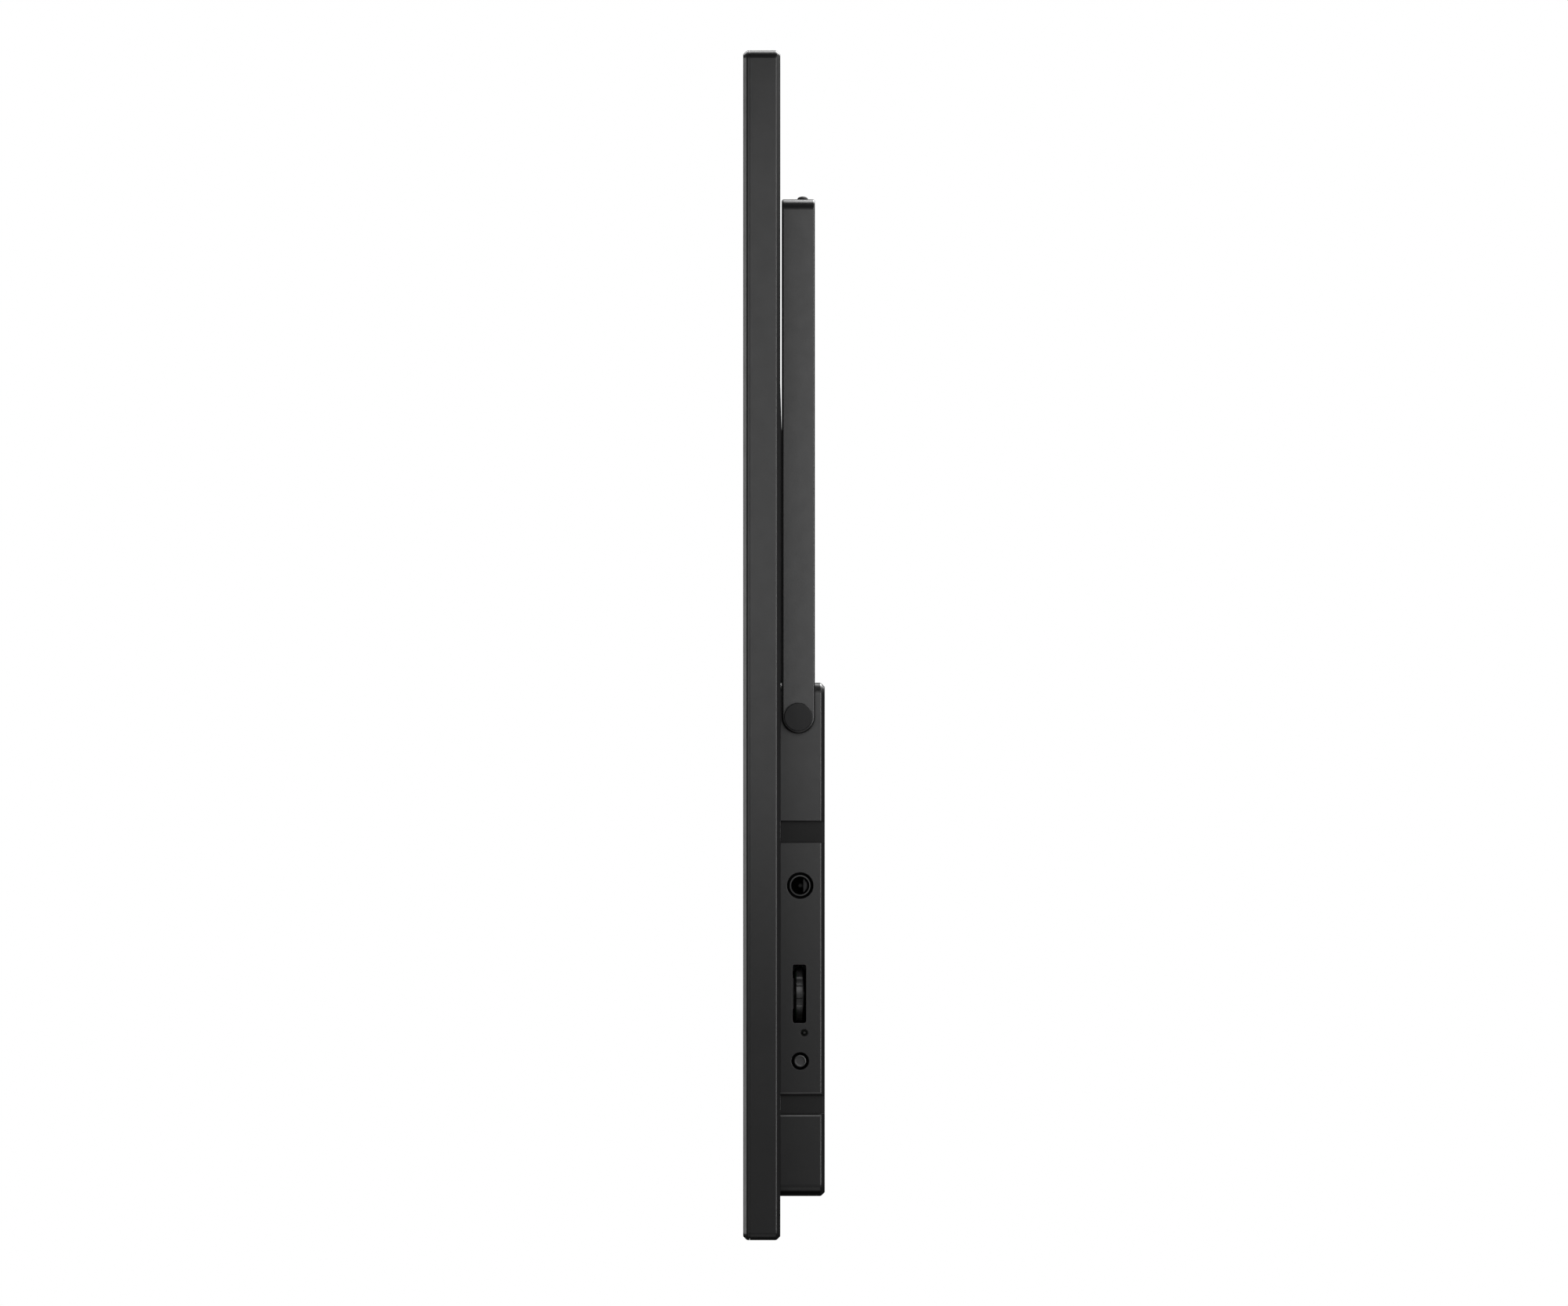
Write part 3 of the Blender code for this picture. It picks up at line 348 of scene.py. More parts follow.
def eased(path, steps=4, closed=False):
    """A path of (a, b, radius) with each corner rounded to its radius."""
    smooth = []
    for number, (a, b, radius) in enumerate(path):
        corner = Vector((a, b))
        if not radius or (not closed and number in (0, len(path) - 1)):
            smooth.append((a, b))
            continue
        before = (Vector(path[number - 1][:2]) - corner).normalized()
        after = (Vector(path[(number + 1) % len(path)][:2]) - corner).normalized()
        half = before.angle(after) / 2
        centre = corner + (before + after).normalized() * radius / math.sin(half)
        start = corner + before * radius / math.tan(half) - centre
        end = corner + after * radius / math.tan(half) - centre
        for step in range(steps + 1):
            share = step / steps
            turn = start.angle_signed(end) * share
            spoke = Matrix.Rotation(-turn, 2) @ start
            smooth.append(tuple(centre + spoke))
    return smooth


def loft(name, sections, facing, centre=(0, 0, 0), closed=False):
    """A solid through sections of (points, out), one after the other; open ones get flat ends."""
    work = bmesh.new()
    place = FACING[facing]
    rings = [[work.verts.new(Vector(place(a, u, out)) + Vector(centre)) for a, u in points]
             for points, out in sections]
    pairs = list(zip(rings, rings[1:] + rings[:1])) if closed else list(zip(rings, rings[1:]))
    for first, second in pairs:
        for i in range(len(first)):
            j = (i + 1) % len(first)
            work.faces.new((first[i], first[j], second[j], second[i]))
    if not closed:
        work.faces.new(rings[0])
        work.faces.new(rings[-1])
    bmesh.ops.remove_doubles(work, verts=work.verts, dist=0.0000005)
    bmesh.ops.recalc_face_normals(work, faces=work.faces)
    return object_from(work, name)


def object_from(work, name):
    """A scene object from a bmesh, which is freed."""
    data = bpy.data.meshes.new(name)
    work.to_mesh(data)
    work.free()
    item = bpy.data.objects.new(name, data)
    bpy.context.scene.collection.objects.link(item)
    return item


def turned(name, path, facing, centre, steps=10, closed=False):
    """A profile of (radius, out, rounding) turned about an axis."""
    profile = eased(path, 4, closed)
    return loft(name, [(circle(max(r, 0.00002), steps), out) for r, out in profile], facing, centre, closed)


def punch(name, shape, facing, centre, face, depth, flare=0.0002, steps=10):
    """A cutter of a rounded shape, from a face inwards, whose mouth rounds over the edge that it leaves."""
    path = [(0.0, face - depth)] + [
        (flare * (1 - math.cos(math.pi / 2 * s / 4)), face - flare * (1 - math.sin(math.pi / 2 * s / 4)))
        for s in range(5)
    ] + [(flare, face + 0.002)]
    return loft(name, [(rounded(*shape, grow, steps), out) for grow, out in path], facing, centre)


def evaluated(item, name=None):
    """The item's mesh with its modifiers applied, as a new object in its place."""
    bpy.context.view_layer.update()
    graph = bpy.context.evaluated_depsgraph_get()
    data = bpy.data.meshes.new_from_object(item.evaluated_get(graph))
    made = bpy.data.objects.new(name or item.name, data)
    bpy.context.scene.collection.objects.link(made)
    bpy.data.objects.remove(item, do_unlink=True)
    data.name = made.name
    return made


def carve(item, cuts=(), joins=()):
    """Join solids to the item, cut others from it and fill any face that the boolean drops."""
    name = item.name
    item.name = f"{name}_blank"
    for tools, operation in ((joins, "UNION"), (cuts, "DIFFERENCE")):
        for tool in tools:
            modifier = item.modifiers.new(tool.name, "BOOLEAN")
            modifier.object = tool
            modifier.operation = operation
            modifier.solver = "EXACT"
    made = evaluated(item, name)
    for tool in (*joins, *cuts):
        bpy.data.objects.remove(tool, do_unlink=True)
    work = bmesh.new()
    work.from_mesh(made.data)
    bmesh.ops.holes_fill(work, edges=[edge for edge in work.edges if edge.is_boundary], sides=0)
    work.to_mesh(made.data)
    work.free()
    return made


def settle(item, body, material, *stands_for, extra=(), choose=None):
    """Shade a finished piece, give it its finish and slot, and say what it rides on and stands for."""
    data = item.data
    data.materials.clear()
    data.materials.append(material)
    for finish in extra:
        data.materials.append(finish)
    if choose:
        for face in data.polygons:
            face.material_index = choose(face.center)
    data.shade_smooth()
    data.set_sharp_from_angle(angle=math.radians(34))
    even = item.modifiers.new("even_normals", "WEIGHTED_NORMAL")
    even.keep_sharp = True
    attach(item, body)
    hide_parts(*stands_for)
    return item


# ---------------------------------------------------------------- panel

SEAM = 0.00012  # the gap between bezel and shell
TONGUE = 0.0005  # its width and its depth
POST_RADIUS, POST_BORE = 0.0022, 0.0015


def panel_ring(inset):
    """The panel's outline, drawn in; past half the rim's width, the light window's outline, let out."""
    if inset < RIM_WIDTH / 2:
        return rounded(*PANEL_HALF, PANEL_CORNER, -inset)
    return rounded(PANEL_HALF[0] - RIM_WIDTH, PANEL_HALF[1] - RIM_WIDTH, WINDOW_CORNER, RIM_WIDTH - inset)


def shell_screw_places():
    x, z, rise = SHELL_SCREWS
    sides = [(side * x, PANEL_MIDDLE + step * rise) for step in (-1, 0, 1) for side in (-1, 1)]
    return sides + [(0, PANEL_MIDDLE - z), (0, PANEL_MIDDLE + z)]


def add_bezel():
    """The front frame: a chamfered rim, a lip that slopes to the light window, and posts for the screws."""
    face, back, lip = PANEL_FRONT, BEZEL_BACK, PANEL_FRONT + BEZEL_LIP
    path = [
        (0, back, 0.0001), (0, face + CHAMFER, EDGE_ROUND), (CHAMFER, face, FACE_ROUND),
        (RIM_WIDTH - 0.0004, face, 0.0003), (RIM_WIDTH, lip, 0), (RIM_WIDTH - 0.0029, lip, 0),
        (RIM_WIDTH - 0.0029, back, 0), (TONGUE * 2, back, 0), (TONGUE * 2, back - TONGUE, 0),
        (TONGUE, back - TONGUE, 0), (TONGUE, back, 0.0001),
    ]
    sections = [(panel_ring(inset), y) for inset, y in eased(path, 4, True)]
    bezel = loft("bezel", sections, "Y", (0, 0, PANEL_MIDDLE), True)
    near, far = back - 0.0006, PANEL_REAR - SHELL_BACK - CLEAR
    post = [(circle(POST_RADIUS), near), (circle(POST_RADIUS), far)]
    hole = [(circle(POST_BORE), back + 0.0011), (circle(POST_BORE), far + 0.001)]
    places = [(x, 0, z) for x, z in shell_screw_places()]
    posts = [loft(f"post_{i}", post, "Y", place) for i, place in enumerate(places)]
    holes = [loft(f"hole_{i}", hole, "Y", place) for i, place in enumerate(places)]
    settle(carve(bezel, holes, posts), "head", SHELL, "front_bezel")


def add_shell():
    """The rear tray, with a tongue into the bezel, sunk screw holes and the raised field above the box."""
    rear, rim, inner = PANEL_REAR, BEZEL_BACK + SEAM, PANEL_REAR - SHELL_BACK
    path = [
        (CHAMFER + 0.001, rear, 0), (CHAMFER, rear, FACE_ROUND), (0, rear - CHAMFER, EDGE_ROUND),
        (0, rim, 0.0001), (TONGUE + SEAM, rim, 0), (TONGUE + SEAM, rim - TONGUE, 0),
        (2 * TONGUE - SEAM, rim - TONGUE, 0), (2 * TONGUE - SEAM, rim, 0), (SHELL_WALL, rim, 0),
        (SHELL_WALL, inner, 0), (SHELL_WALL + 0.001, inner, 0),
    ]
    sections = [(panel_ring(inset), y) for inset, y in eased(path)]
    shell = loft("shell", sections, "Y", (0, 0, PANEL_MIDDLE))
    half, proud, flat, ramp = FIELD
    foot = BOX_MIDDLE + BOX_HALF[1] - 0.001
    side = [(foot, 0), (foot + 0.001 + flat, 0), (foot + 0.001 + flat + ramp, proud + 0.0002)]
    sections = []
    for height, drop in side:
        top = rear + proud - drop
        edge = [(-half, rear - 0.0008), (-half, top - 0.0002), (-half + 0.0002, top)]
        sections.append((edge + [(-x, y) for x, y in reversed(edge)], height))
    field = loft("field", sections, "Z")
    sink = [
        (POST_BORE, rear - 0.004, 0), (POST_BORE, rear - 0.00115, 0), (0.0026, rear, 0),
        (0.0034, rear + 0.0008, 0),
    ]
    cuts = [turned(f"sink_{i}", sink, "Y", (x, 0, z)) for i, (x, z) in enumerate(shell_screw_places())]
    window = rounded(0.014, 0.0045, 0.002)
    cable = [(window, rear - 0.004), (window, rear + 0.002)]
    cuts.append(loft("cable_window", cable, "Y", (0, 0, TILT_AXIS_Z + CABLE_RISE)))
    settle(carve(shell, cuts, [field]), "head", SHELL, "rear_shell")


# ---------------------------------------------------------------- screws

DRIVE_DEPTH = 0.0009
DRIVE_TURN = math.radians(37)  # from one screw to the next


def cross(depth):
    """A tapered cutter for a cross-shaped drive."""
    sections = []
    for out, wide, narrow in ((-depth, 0.0006, 0.00022), (0.0003, 0.00135, 0.00036)):
        points = []
        for quarter in range(4):
            turn = Matrix.Rotation(quarter * math.pi / 2, 2)
            points += [tuple(turn @ Vector(p)) for p in ((narrow, -narrow), (wide, -narrow), (wide, narrow))]
        sections.append((points, out))
    return loft("cross", sections, "Y")


def box_screw_places():
    return [(side * BOX_SCREW_OUT, TILT_AXIS_Z + rise) for rise in BOX_SCREW_RISES for side in (-1, 1)]


def add_screws():
    """Sunk screws in the shell and pan heads in the box, each with its drive at another angle."""
    shell_path = [
        (0, 0, 0), (0.0023, 0, 0.00012), (0.0012, -0.0012, 0), (0.0012, -0.0083, 0), (0, -0.0089, 0),
    ]
    box_path = [
        (0, 0, 0), (0.0017, 0, 0.0006), (0.0027, -0.0005, 0.0004), (0.0027, -0.0016, 0.0001),
        (0.0015, -0.0016, 0), (0.0015, -0.0157, 0), (0, -0.0165, 0),
    ]
    for stem, path, places, out in (
        ("shell_screw", shell_path, shell_screw_places(), PANEL_REAR - 0.0001),
        ("box_screw", box_path, box_screw_places(), BOX_REAR - 0.0005),
    ):
        first = carve(turned(f"{stem}_template", path, "Y", (0, 0, 0), 8), [cross(DRIVE_DEPTH)])
        for number, (x, z) in enumerate(places, 1):
            data = first.data.copy()
            turn = Matrix.Rotation(DRIVE_TURN * number, 4, "Y")
            data.transform(Matrix.Translation((x, out, z)) @ turn)
            screw = bpy.data.objects.new(f"{stem}_fine_{number}", data)
            bpy.context.scene.collection.objects.link(screw)
            settle(screw, "head", BLACK_STEEL, f"{stem}_{number}")
        bpy.data.objects.remove(first, do_unlink=True)


# ---------------------------------------------------------------- control box

PAINTED_SHADE_DEPTH = 0.00095  # below this depth under the outer faces the mould's texture ends and the faces get painted shade, a darker colour for the shade inside

TEXTURED, INSIDE_PAINTED_SHADE, LIP, FLOOR = range(4)  # the box's finish, then its painted shade and highlight, in the order that settle gets them
# painted shade for the hollows and the lower groove's floor, painted highlight for that groove's lips
BOX_PAINTED_SHADE_AND_HIGHLIGHT = (CAVITY_PAINTED_SHADE, LIP_PAINTED_HIGHLIGHT, GROOVE_FLOOR_PAINTED_SHADE)
ACROSS_CHAMFER = 0.7  # a depth under a chamfer, from the two depths beside it


def box_finish_and_painted_light(place):
    """Textured outside; painted shade, a darker smooth finish, on the faces inside and on the lower groove's
    floor; painted highlight, a lighter glossier finish, on that groove's lips.
    """
    side = BOX_HALF[0] - abs(place.x)
    end = BOX_HALF[1] - abs(place.z - BOX_MIDDLE)
    rear = BOX_REAR - place.y
    low, high, lip = GROOVES[1]
    if TOUCH < side < lip and low - lip < place.z < high + lip and rear > CHAMFER:
        return LIP
    if low < place.z < high and side < GROOVE_DEPTH + TOUCH:
        return FLOOR
    slants = (side + rear - CHAMFER, end + rear - CHAMFER, side + end - 0.0012)
    depth = min(side, end, rear, *(slant * ACROSS_CHAMFER for slant in slants))
    return INSIDE_PAINTED_SHADE if depth > PAINTED_SHADE_DEPTH else TEXTURED


def add_box():
    """The housing: chamfered rear rim, grooved sides, vents, sunk screws and rounded control openings."""
    front, rear, inner = PANEL_REAR, BOX_REAR, BOX_REAR - BOX_WALL
    path = [
        (CHAMFER + 0.001, rear, 0), (CHAMFER, rear, FACE_ROUND), (0, rear - CHAMFER, EDGE_ROUND),
        (0, front, 0.00012), (BOX_WALL, front, 0), (BOX_WALL, inner, 0), (BOX_WALL + 0.001, inner, 0),
    ]
    sections = [(rounded(*BOX_HALF, BOX_CORNER, -inset), y) for inset, y in eased(path)]
    box = loft("box", sections, "Y", (0, 0, BOX_MIDDLE))
    wall_x = BOX_HALF[0]
    joins, cuts = [], []
    for side in (-1, 1):
        for number, (low, high, lip) in enumerate(GROOVES):
            middle, half = (low + high) / 2, (high - low) / 2
            near = wall_x - BOX_WALL - GROOVE_DEPTH
            shape = ((inner + INTO - front) / 2 - TOUCH / 2, half + BOX_WALL, 0.0003)
            centre = (0, (front + inner + INTO + TOUCH) / 2, middle)
            sections = [(rounded(*shape), near), (rounded(*shape), wall_x - BOX_WALL + INTO)]
            facing = "X" if side > 0 else "-X"
            joins.append(loft(f"groove_back_{side}_{number}", sections, facing, centre))
            shape = ((rear - front) / 2 + 0.002, half, 0.0002)
            centre = (0, (rear + front) / 2, middle)
            cuts.append(punch(f"groove_{side}_{number}", shape, facing, centre, wall_x, GROOVE_DEPTH, lip, 4))
    post = [(circle(0.0042), front + 0.0002), (circle(0.0042), inner + INTO)]
    hole = [(circle(0.0018), front - 0.002), (circle(0.0018), rear)]
    for i, (x, z) in enumerate(box_screw_places()):
        joins.append(loft(f"box_post_{i}", post, "Y", (x, 0, z)))
        cuts.append(loft(f"box_hole_{i}", hole, "Y", (x, 0, z)))
        cuts.append(punch(f"box_sink_{i}", (0.0031,) * 3, "Y", (x, 0, z), rear, 0.0024))
    slot = (0.001, VENT_HALF, 0.001)
    for row, low in enumerate(VENT_ROWS):
        for number in range(VENT_COUNT):
            centre = ((number - VENT_COUNT // 2) * VENT_PITCH, 0, TILT_AXIS_Z + low + VENT_HALF)
            cuts.append(punch(f"vent_{row}_{number}", slot, "Y", centre, rear, THROUGH_WALL, 0.0003, 6))
    for name, shape, (y, z) in (
        ("socket", (0.00475,) * 3, SOCKET_AT), ("indicator", (0.0013,) * 3, INDICATOR_AT),
        ("button", (0.00315,) * 3, BUTTON_AT), ("wheel", (0.0024, 0.01055, 0.0008), WHEEL_AT[1:]),
    ):
        cuts.append(punch(f"{name}_opening", shape, "X", (0, y, z), wall_x, THROUGH_WALL, 0.0002, 12))
    for facing in ("X", "-X"):
        name, centre = f"pivot_opening_{facing}", (0, 0, TILT_AXIS_Z)
        cuts.append(punch(name, (PIVOT_HOLE,) * 3, facing, centre, wall_x, THROUGH_WALL))
    box = carve(box, cuts, joins)
    # faces inside get painted shade; the lower groove gets painted shade on its floor and painted highlight
    # on its lips
    settle(box, "head", BOX, "control_box", extra=BOX_PAINTED_SHADE_AND_HIGHLIGHT, choose=box_finish_and_painted_light)


# ---------------------------------------------------------------- controls

WHEEL_STEPS = 192


def add_socket():
    """The power socket's block and its nose, with a rounded rim and a lead-in."""
    low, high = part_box("dc_socket")
    y, z = SOCKET_AT
    block_end = BOX_HALF[0] - BOX_WALL - CLEAR
    half = ((high.y - low.y) / 2, (high.z - low.z) / 2)
    centre = (0, (low.y + high.y) / 2, (low.z + high.z) / 2)
    sections = [(rounded(*half, 0.0004, -0.0002), low.x), (rounded(*half, 0.0004), low.x + 0.0002),
                (rounded(*half, 0.0004), block_end)]
    block = loft("socket", sections, "X", centre)
    nose_radius, bore_radius, mouth_radius, lead_in = 0.0039, 0.0032, 0.0036, 0.0003
    nose_path = [
        (0, block_end - 0.002, 0), (nose_radius, block_end - 0.002, 0), (nose_radius, high.x, 0.00025),
        (0, high.x, 0),
    ]
    nose = turned("nose", nose_path, "X", (0, y, z), 14)
    bore_path = [
        (0, low.x + 0.004, 0), (bore_radius, low.x + 0.004, 0), (bore_radius, high.x - lead_in, 0.0002),
        (mouth_radius, high.x + 0.0002, 0), (mouth_radius, high.x + 0.001, 0), (0, high.x + 0.001, 0),
    ]
    bore = turned("bore", bore_path, "X", (0, y, z), 14)
    socket = carve(block, [bore], [nose])
    # painted shade: the bore past its lead-in is near black
    settle(socket, "head", SOCKET_PAINTED_LIGHT, "dc_socket", extra=(PIT_PAINTED_SHADE,),
           choose=lambda place: int(place.x < high.x - lead_in))
    reach, chord = 0.0030, 0.0012  # the sprung leaf's radius, and how far its chord is from the middle
    bow = [(y + reach * math.cos(a), z + reach * math.sin(a)) for a in (
        math.acos(chord / reach) * (step / 12 - 1) for step in range(25))]
    back, tip = low.x + 0.0045, high.x - 0.0030
    inner = [(y + chord + (a - y - chord) * 0.6, z + (u - z) * 0.9) for a, u in bow]
    leaf = loft("contact_leaf", [(bow, back), (bow, tip), (inner, tip + 0.0004)], "X")
    # painted shade: the contact leaf's darkened metal stands in for the shade in the bore
    settle(leaf, "head", CONTACT_PAINTED_SHADE, "dc_socket_contact")


def turn_angles(steps):
    return [2 * math.pi * step / steps for step in range(steps)]


def wheel_section(inset):
    """The thumbwheel's outline: broad raised pads with shallow hollows between them."""
    pads, pad_share, hollow, radius = 8, 0.60, 0.00045, 0.0100
    points = []
    for angle in turn_angles(WHEEL_STEPS):
        phase = abs(((angle - math.radians(4)) * pads / (2 * math.pi) + 0.5) % 1.0 - 0.5) * 2
        dip = min(max((phase - pad_share + 0.06) / 0.12, 0.0), 1.0)
        reach = radius - inset - hollow * dip * dip * (3 - 2 * dip)
        points.append((reach * math.cos(angle), reach * math.sin(angle)))
    return points


def add_wheel():
    """The dimmer's thumbwheel: a crowned rim with fine rings, on pads."""
    half, bore = 0.0016, 0.0018
    profile = [(0.0016, -half), (0.0010, -half + 0.0001), (0.00032, -half + 0.00055)]
    grooves, pitch = 5, 0.00042
    for number in range(grooves):
        middle = (number - (grooves - 1) / 2) * pitch
        crown = 0.00012 * (middle / 0.001) ** 2
        profile += [(crown, middle - 0.00013), (crown, middle + 0.00009), (crown + 0.00009, middle + 0.00013)]
        profile += [(crown + 0.00009, middle + 0.00025)]
    profile += [(0.00032, half - 0.00055), (0.0010, half - 0.0001), (0.0016, half)]
    sections = [(wheel_section(inset), y) for inset, y in profile]
    hole = [(bore * math.cos(a), bore * math.sin(a)) for a in turn_angles(WHEEL_STEPS)]
    sections += [(hole, half), (hole, -half)]
    wheel = loft("wheel", sections, "Y", WHEEL_AT, True)
    settle(wheel, "dimmer", WHEEL_PAINTED_LIGHT, "dimmer_wheel")


def add_button():
    """The power button, with a slightly hollow face, its flange and its stem."""
    face, proud, radius = BOX_HALF[0], 0.0004, 0.0022
    back = face - BOX_WALL - 0.0005
    path = [
        (0, face + proud - 0.00012, 0), (radius - 0.0008, face + proud - 0.0001, 0.002),
        (radius - 0.00035, face + proud, 0.0002), (radius, face + proud - 0.0001, 0.00012), (radius, back, 0),
        (0.0035, back, 0), (0.0035, back - 0.0010, 0), (0.0012, back - 0.0010, 0), (0.0012, back - 0.0016, 0),
        (0, back - 0.0016, 0),
    ]
    button = turned("button", path, "X", (0, *BUTTON_AT), 14)
    # painted shade: the flange and stem below the face are near black
    settle(button, "button", BUTTON, "power_button", extra=(PIT_PAINTED_SHADE,),
           choose=lambda place: int(place.x < face - 0.0005))


def add_lens():
    """The indicator's light pipe, with a domed end."""
    face, radius = BOX_HALF[0], 0.0010
    path = [(0, face - 0.0003, 0), (0.00036, face - 0.0003, 0.0001), (radius, face - 0.0009, 0.0001)]
    path += [(radius, face - 0.0023, 0), (0.0017, face - 0.0023, 0), (0.0017, face - 0.0031, 0)]
    path += [(radius, face - 0.0031, 0), (radius, face - 0.0052, 0), (0, face - 0.0052, 0)]
    settle(turned("lens", path, "X", (0, *INDICATOR_AT), 12), "head", LENS, "indicator_lens")


# ---------------------------------------------------------------- yoke

YOKE_WIDTH = 0.0121
YOKE_THICKNESS = 0.0025
ARM_OUTSIDE = 0.0791
OUTER_BEND = 0.0040


def arc(centre, radius, start, end, steps):
    angles = [math.radians(start + (end - start) * i / steps) for i in range(steps + 1)]
    return [(centre[0] + radius * math.cos(a), centre[1] + radius * math.sin(a)) for a in angles]


def add_yoke():
    """The strap, bent to a U, with softly rounded edges and round lower ends."""
    arm_inside, inner_bend = ARM_OUTSIDE - YOKE_THICKNESS, OUTER_BEND - YOKE_THICKNESS
    end, corner = TILT_AXIS_Z - YOKE_WIDTH / 2, ARM_OUTSIDE - OUTER_BEND
    bends = [(ARM_OUTSIDE, end)] + arc((corner, -OUTER_BEND), OUTER_BEND, 0, 90, 16)
    bends += arc((-corner, -OUTER_BEND), OUTER_BEND, 90, 180, 16) + [(-ARM_OUTSIDE, end), (-arm_inside, end)]
    bends += arc((-corner, -OUTER_BEND), inner_bend, 180, 90, 10)
    bends += arc((corner, -OUTER_BEND), inner_bend, 90, 0, 10) + [(arm_inside, end)]
    half = YOKE_WIDTH / 2
    strap = loft("strap", [(bends, -half), (bends, half)], "Y")
    out, below = half + 0.001, -half - 0.001
    trim = [(-out, 0), (-out, below), (out, below), (out, 0)] + arc((0, 0), half, 0, -180, 40)
    trims = [loft(f"trim_{side}", [(trim, ARM_OUTSIDE - 0.005), (trim, ARM_OUTSIDE + 0.001)], side,
                  (0, 0, TILT_AXIS_Z)) for side in ("X", "-X")]
    strap = carve(strap, trims)
    weld = strap.modifiers.new("weld", "WELD")
    weld.merge_threshold = 0.000002
    flat = strap.modifiers.new("flat_faces", "DECIMATE")
    flat.decimate_type = "DISSOLVE"
    flat.angle_limit = math.radians(0.3)
    soft = strap.modifiers.new("soft_edges", "BEVEL")
    soft.width = 0.0008
    soft.segments = 4
    soft.limit_method = "ANGLE"
    soft.angle_limit = math.radians(40)
    soft.use_clamp_overlap = False
    strap = evaluated(strap, "bent_strap")
    foot_x, foot_y = FOOT_AT
    cuts = [punch(f"foot_seat_{x}", (0.0023,) * 3, "Z", (x, foot_y, 0), 0, 0.0008, 0.0001)
            for x in (-foot_x, foot_x)]
    axis = (0, 0, TILT_AXIS_Z)
    cuts += [punch(f"arm_hole_{side}", (PIVOT_HOLE,) * 3, side, axis, ARM_OUTSIDE, THROUGH_WALL, 0.0001)
             for side in ("X", "-X")]
    cuts += [punch("insert_seat", (0.0048,) * 3, "Z", (0, 0, 0), 0, 0.004, 0.00015, 16)]
    settle(carve(strap, cuts), "yoke", COAT, "yoke")


def add_feet():
    """A low rubber dome near each end of the crossbar."""
    radius, rise, steps = 0.0020, 0.0012, 10
    angles = [math.pi / 2 * step / steps for step in range(steps, -1, -1)]
    dome = [(radius * math.cos(a), rise * math.sin(a), 0) for a in angles]
    path = dome + [(radius, -0.0005, 0), (0, -0.0005, 0)]
    for side, label in ((-1, "left"), (1, "right")):
        foot = turned(f"foot_{label}", path, "Z", (side * FOOT_AT[0], FOOT_AT[1], 0))
        settle(foot, "yoke", RUBBER, f"yoke_foot_{label}")


def add_insert():
    """The stand's insert, with a quarter-inch thread of 20 turns to the inch in its bore."""
    body, flange, major, ridge, pitch = 0.0045, 0.0060, 0.003175, 0.00048, 0.00127
    top, shoulder, bottom, steps = -0.0001, -0.0028, -0.0055, 64
    outside = eased([
        (major + 0.0003, top, 0), (body, top, 0.00015), (body, shoulder, 0), (flange, shoulder, 0.0001),
        (flange, bottom, 0.00015), (major + 0.0003, bottom, 0),
    ])
    sections = [([(r * math.cos(a), r * math.sin(a)) for a in turn_angles(steps)], out) for r, out in outside]
    rows = 56
    for row in range(rows + 1):
        out = bottom + 0.0002 + (top - bottom - 0.0004) * row / rows
        points = []
        for angle in turn_angles(steps):
            wave = abs((out / pitch - angle / (2 * math.pi)) % 1.0 - 0.5) * 2
            fade = min(1.0, row / 5, (rows - row) / 5)
            radius = major - ridge * fade * min(max((wave - 0.12) / 0.72, 0.0), 1.0)
            points.append((radius * math.cos(angle), radius * math.sin(angle)))
        sections.append((points, out))
    settle(loft("thread_insert", sections, "Z", closed=True), "yoke", BRASS, "stand_insert")


def add_caps():
    """The pivots' domed caps over the screw heads."""
    for label, facing in (("left", "-X"), ("right", "X")):
        low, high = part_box(f"pivot_cap_{label}")
        seat, top = sorted((abs(low.x), abs(high.x)))
        outer, inner = 0.00515, 0.00455
        path = [(0, top, 0), (outer, top - 0.00005, 0.0003), (outer, seat, 0), (inner, seat, 0)]
        path += [(inner, top - 0.0007, 0), (0, top - 0.0007, 0)]
        cap = turned(f"cap_{label}", path, facing, (0, 0, TILT_AXIS_Z), 20)
        settle(cap, "head", CAP, f"pivot_cap_{label}")


# ---------------------------------------------------------------- the pieces that stay as packed


def finish_packed_pieces():
    """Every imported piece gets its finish; those with a finer stand-in are replaced later."""
    for name, item in nodes.items():
        item.data.materials.clear()
        item.data.materials.append(look_for(name))


def add_fine_pieces():
    add_bezel()
    add_shell()
    add_screws()
    add_box()
    add_socket()
    add_wheel()
    add_button()
    add_lens()
    add_yoke()
    add_feet()
    add_insert()
    add_caps()


# ---------------------------------------------------------------- camera, floor and lights

CAMERA_DISTANCE = 18.0
SEEN_HEIGHT = 0.4741  # how much of the light's height the picture takes in, at the panel's near side
CENTRE_DROP = 0.0028  # the picture's centre below the light's
PICTURE = (2000, 1666)  # only its proportions count
ROOM_LIGHT = 0.04
FLOOR_RADIUS = 0.62
FLOOR_FADE = (0.30, 0.98)  # shares of the radius between which the floor thins out
TURNING_ROOM = 0.058  # the floor lies this far below the light, so that the head can turn over


def aim(item, place, target):
    item.location = place
    item.rotation_euler = (Vector(target) - Vector(place)).to_track_quat("-Z", "Y").to_euler()


def add_camera():
    """A far camera, straight at the side with the controls, which sees almost no perspective."""
    centre = (cad_low + cad_high) / 2
    centre.z -= CENTRE_DROP
    data = bpy.data.cameras.new("camera")
    data.sensor_width = 36.0
    seen_width = SEEN_HEIGHT * PICTURE[0] / PICTURE[1]
    data.lens = data.sensor_width * (CAMERA_DISTANCE - cad_high.x) / seen_width
    data.clip_end = 100.0
    camera = bpy.data.objects.new("camera", data)
    bpy.context.scene.collection.objects.link(camera)
    aim(camera, (CAMERA_DISTANCE, centre.y, centre.z), (0, centre.y, centre.z))
    bpy.context.scene.camera = camera


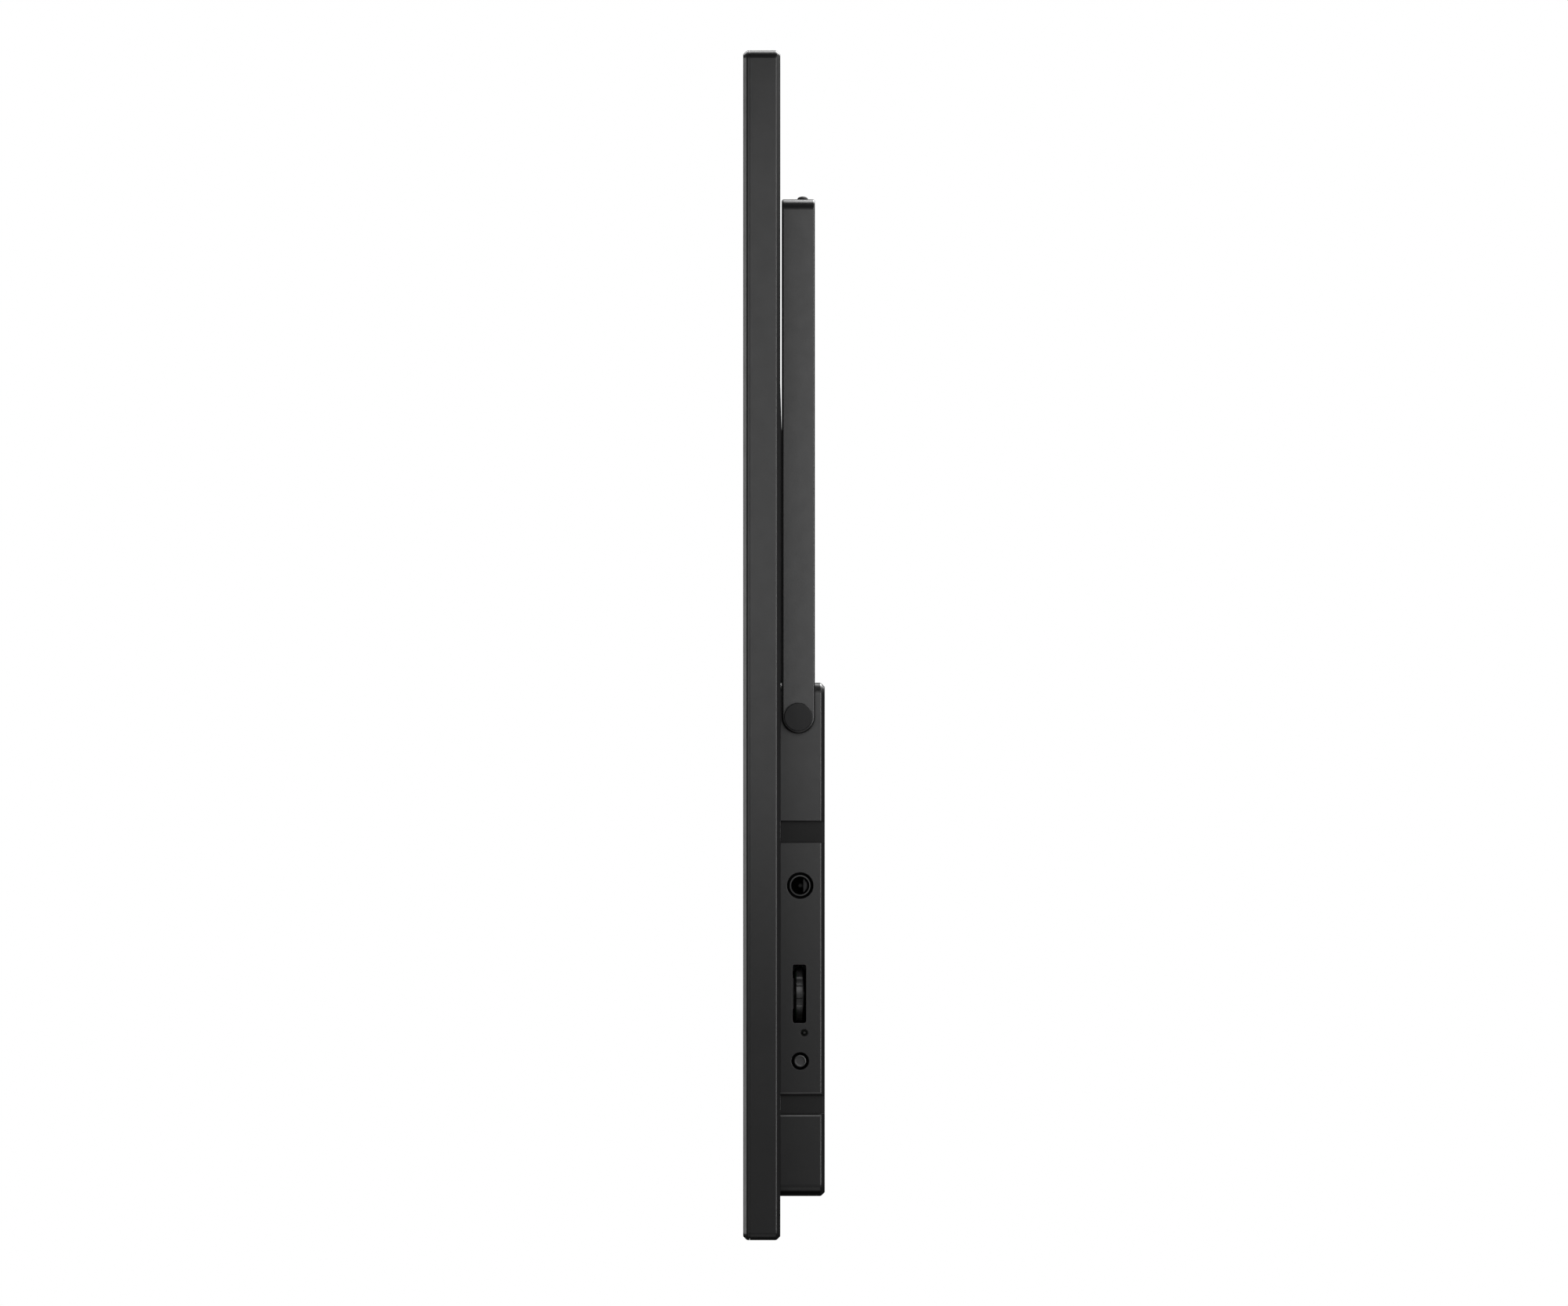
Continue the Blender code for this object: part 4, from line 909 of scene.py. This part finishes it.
def add_floor():
    """A pale round floor that thins out to nothing, so that it has no edge."""
    work = bmesh.new()
    bmesh.ops.create_circle(work, cap_ends=True, segments=96, radius=FLOOR_RADIUS)
    floor = object_from(work, "floor")
    floor.location.z = cad_low.z - TURNING_ROOM
    pale = Surface("floor_paint", (0.80, 0.80, 0.80), 0.8, Specular_IOR_Level=0.2)
    pale.drift(3, 0.01)
    away = pale.node("ShaderNodeVectorMath", operation="LENGTH")
    pale.link(pale.place, away.inputs[0])
    fade = pale.node("ShaderNodeMapRange", interpolation_type="SMOOTHSTEP")
    start, end = (share * FLOOR_RADIUS for share in FLOOR_FADE)
    for socket, value in (("From Min", start), ("From Max", end), ("To Min", 1.0), ("To Max", 0.0)):
        fade.inputs[socket].default_value = value
    pale.link(away.outputs["Value"], fade.inputs["Value"])
    pale.link(fade.outputs["Result"], pale.shader.inputs["Alpha"])
    floor.data.materials.append(pale.material)
    floor.visible_diffuse = False
    floor.visible_glossy = False


def add_light(name, place, target, size, power):
    data = bpy.data.lights.new(name, "AREA")
    data.shape = "RECTANGLE"
    data.size, data.size_y = size
    data.energy = power
    light = bpy.data.objects.new(name, data)
    bpy.context.scene.collection.objects.link(light)
    aim(light, place, target)
    light.visible_camera = False


def add_world():
    """A dim room; what the camera sees past the light is plain white."""
    world = bpy.data.worlds.new("studio")
    bpy.context.scene.world = world
    world.use_nodes = True
    tree = world.node_tree
    tree.nodes.clear()
    path = tree.nodes.new("ShaderNodeLightPath")
    mix = tree.nodes.new("ShaderNodeMixShader")
    out = tree.nodes.new("ShaderNodeOutputWorld")
    for slot, strength in ((1, ROOM_LIGHT), (2, 1.0)):
        shade = tree.nodes.new("ShaderNodeBackground")
        shade.inputs["Color"].default_value = (1, 1, 1, 1)
        shade.inputs["Strength"].default_value = strength
        tree.links.new(shade.outputs["Background"], mix.inputs[slot])
    tree.links.new(path.outputs["Is Camera Ray"], mix.inputs["Fac"])
    tree.links.new(mix.outputs["Shader"], out.inputs["Surface"])


def add_lights():
    """Keys beside the controls' side, an overhead softbox, strips for the edges, and fills behind."""
    middle = (cad_low + cad_high) / 2
    key_height = cad_low.z + 0.68 * (cad_high.z - cad_low.z)
    add_light("key", (0.44, 0.03, key_height), (0.10, 0.03, key_height), (0.26, 0.30), 0.40)
    add_light("low_key", (0.44, 0.03, cad_low.z), (0.10, 0.03, cad_low.z), (0.26, 0.30), 0.07)
    add_light("under_key", (0.36, 0.03, cad_low.z - 0.30), (0.10, 0.03, cad_low.z), (0.26, 0.26), 0.13)
    add_light("overhead", (-0.42, 0.0, 1.0), (-0.05, 0, middle.z), (0.8, 0.8), 12)
    add_light("rear_strip", (0.85, 0.75, middle.z + 0.10), (0, 0, middle.z + 0.10), (0.28, 0.9), 5.0)
    add_light("front_strip", (0.13, -1.0, -0.25), (0.13, 0, -0.25), (0.5, 0.8), 4.6)
    add_light("rear_top", (0.13, 0.38, 0.12), (0.13, 0, 0.05), (0.2, 0.2), 0.22)
    add_light("front_fill", (-0.9, -0.7, middle.z + 1.2), (0, 0, middle.z), (0.8, 0.8), 14)
    add_light("rear_fill", (-0.9, 0.7, middle.z + 1.2), (0, 0, middle.z), (0.8, 0.8), 34)


add_camera()
add_floor()
add_world()
add_lights()
finish_packed_pieces()
add_fine_pieces()

bpy.context.scene.view_settings.view_transform = "Standard"
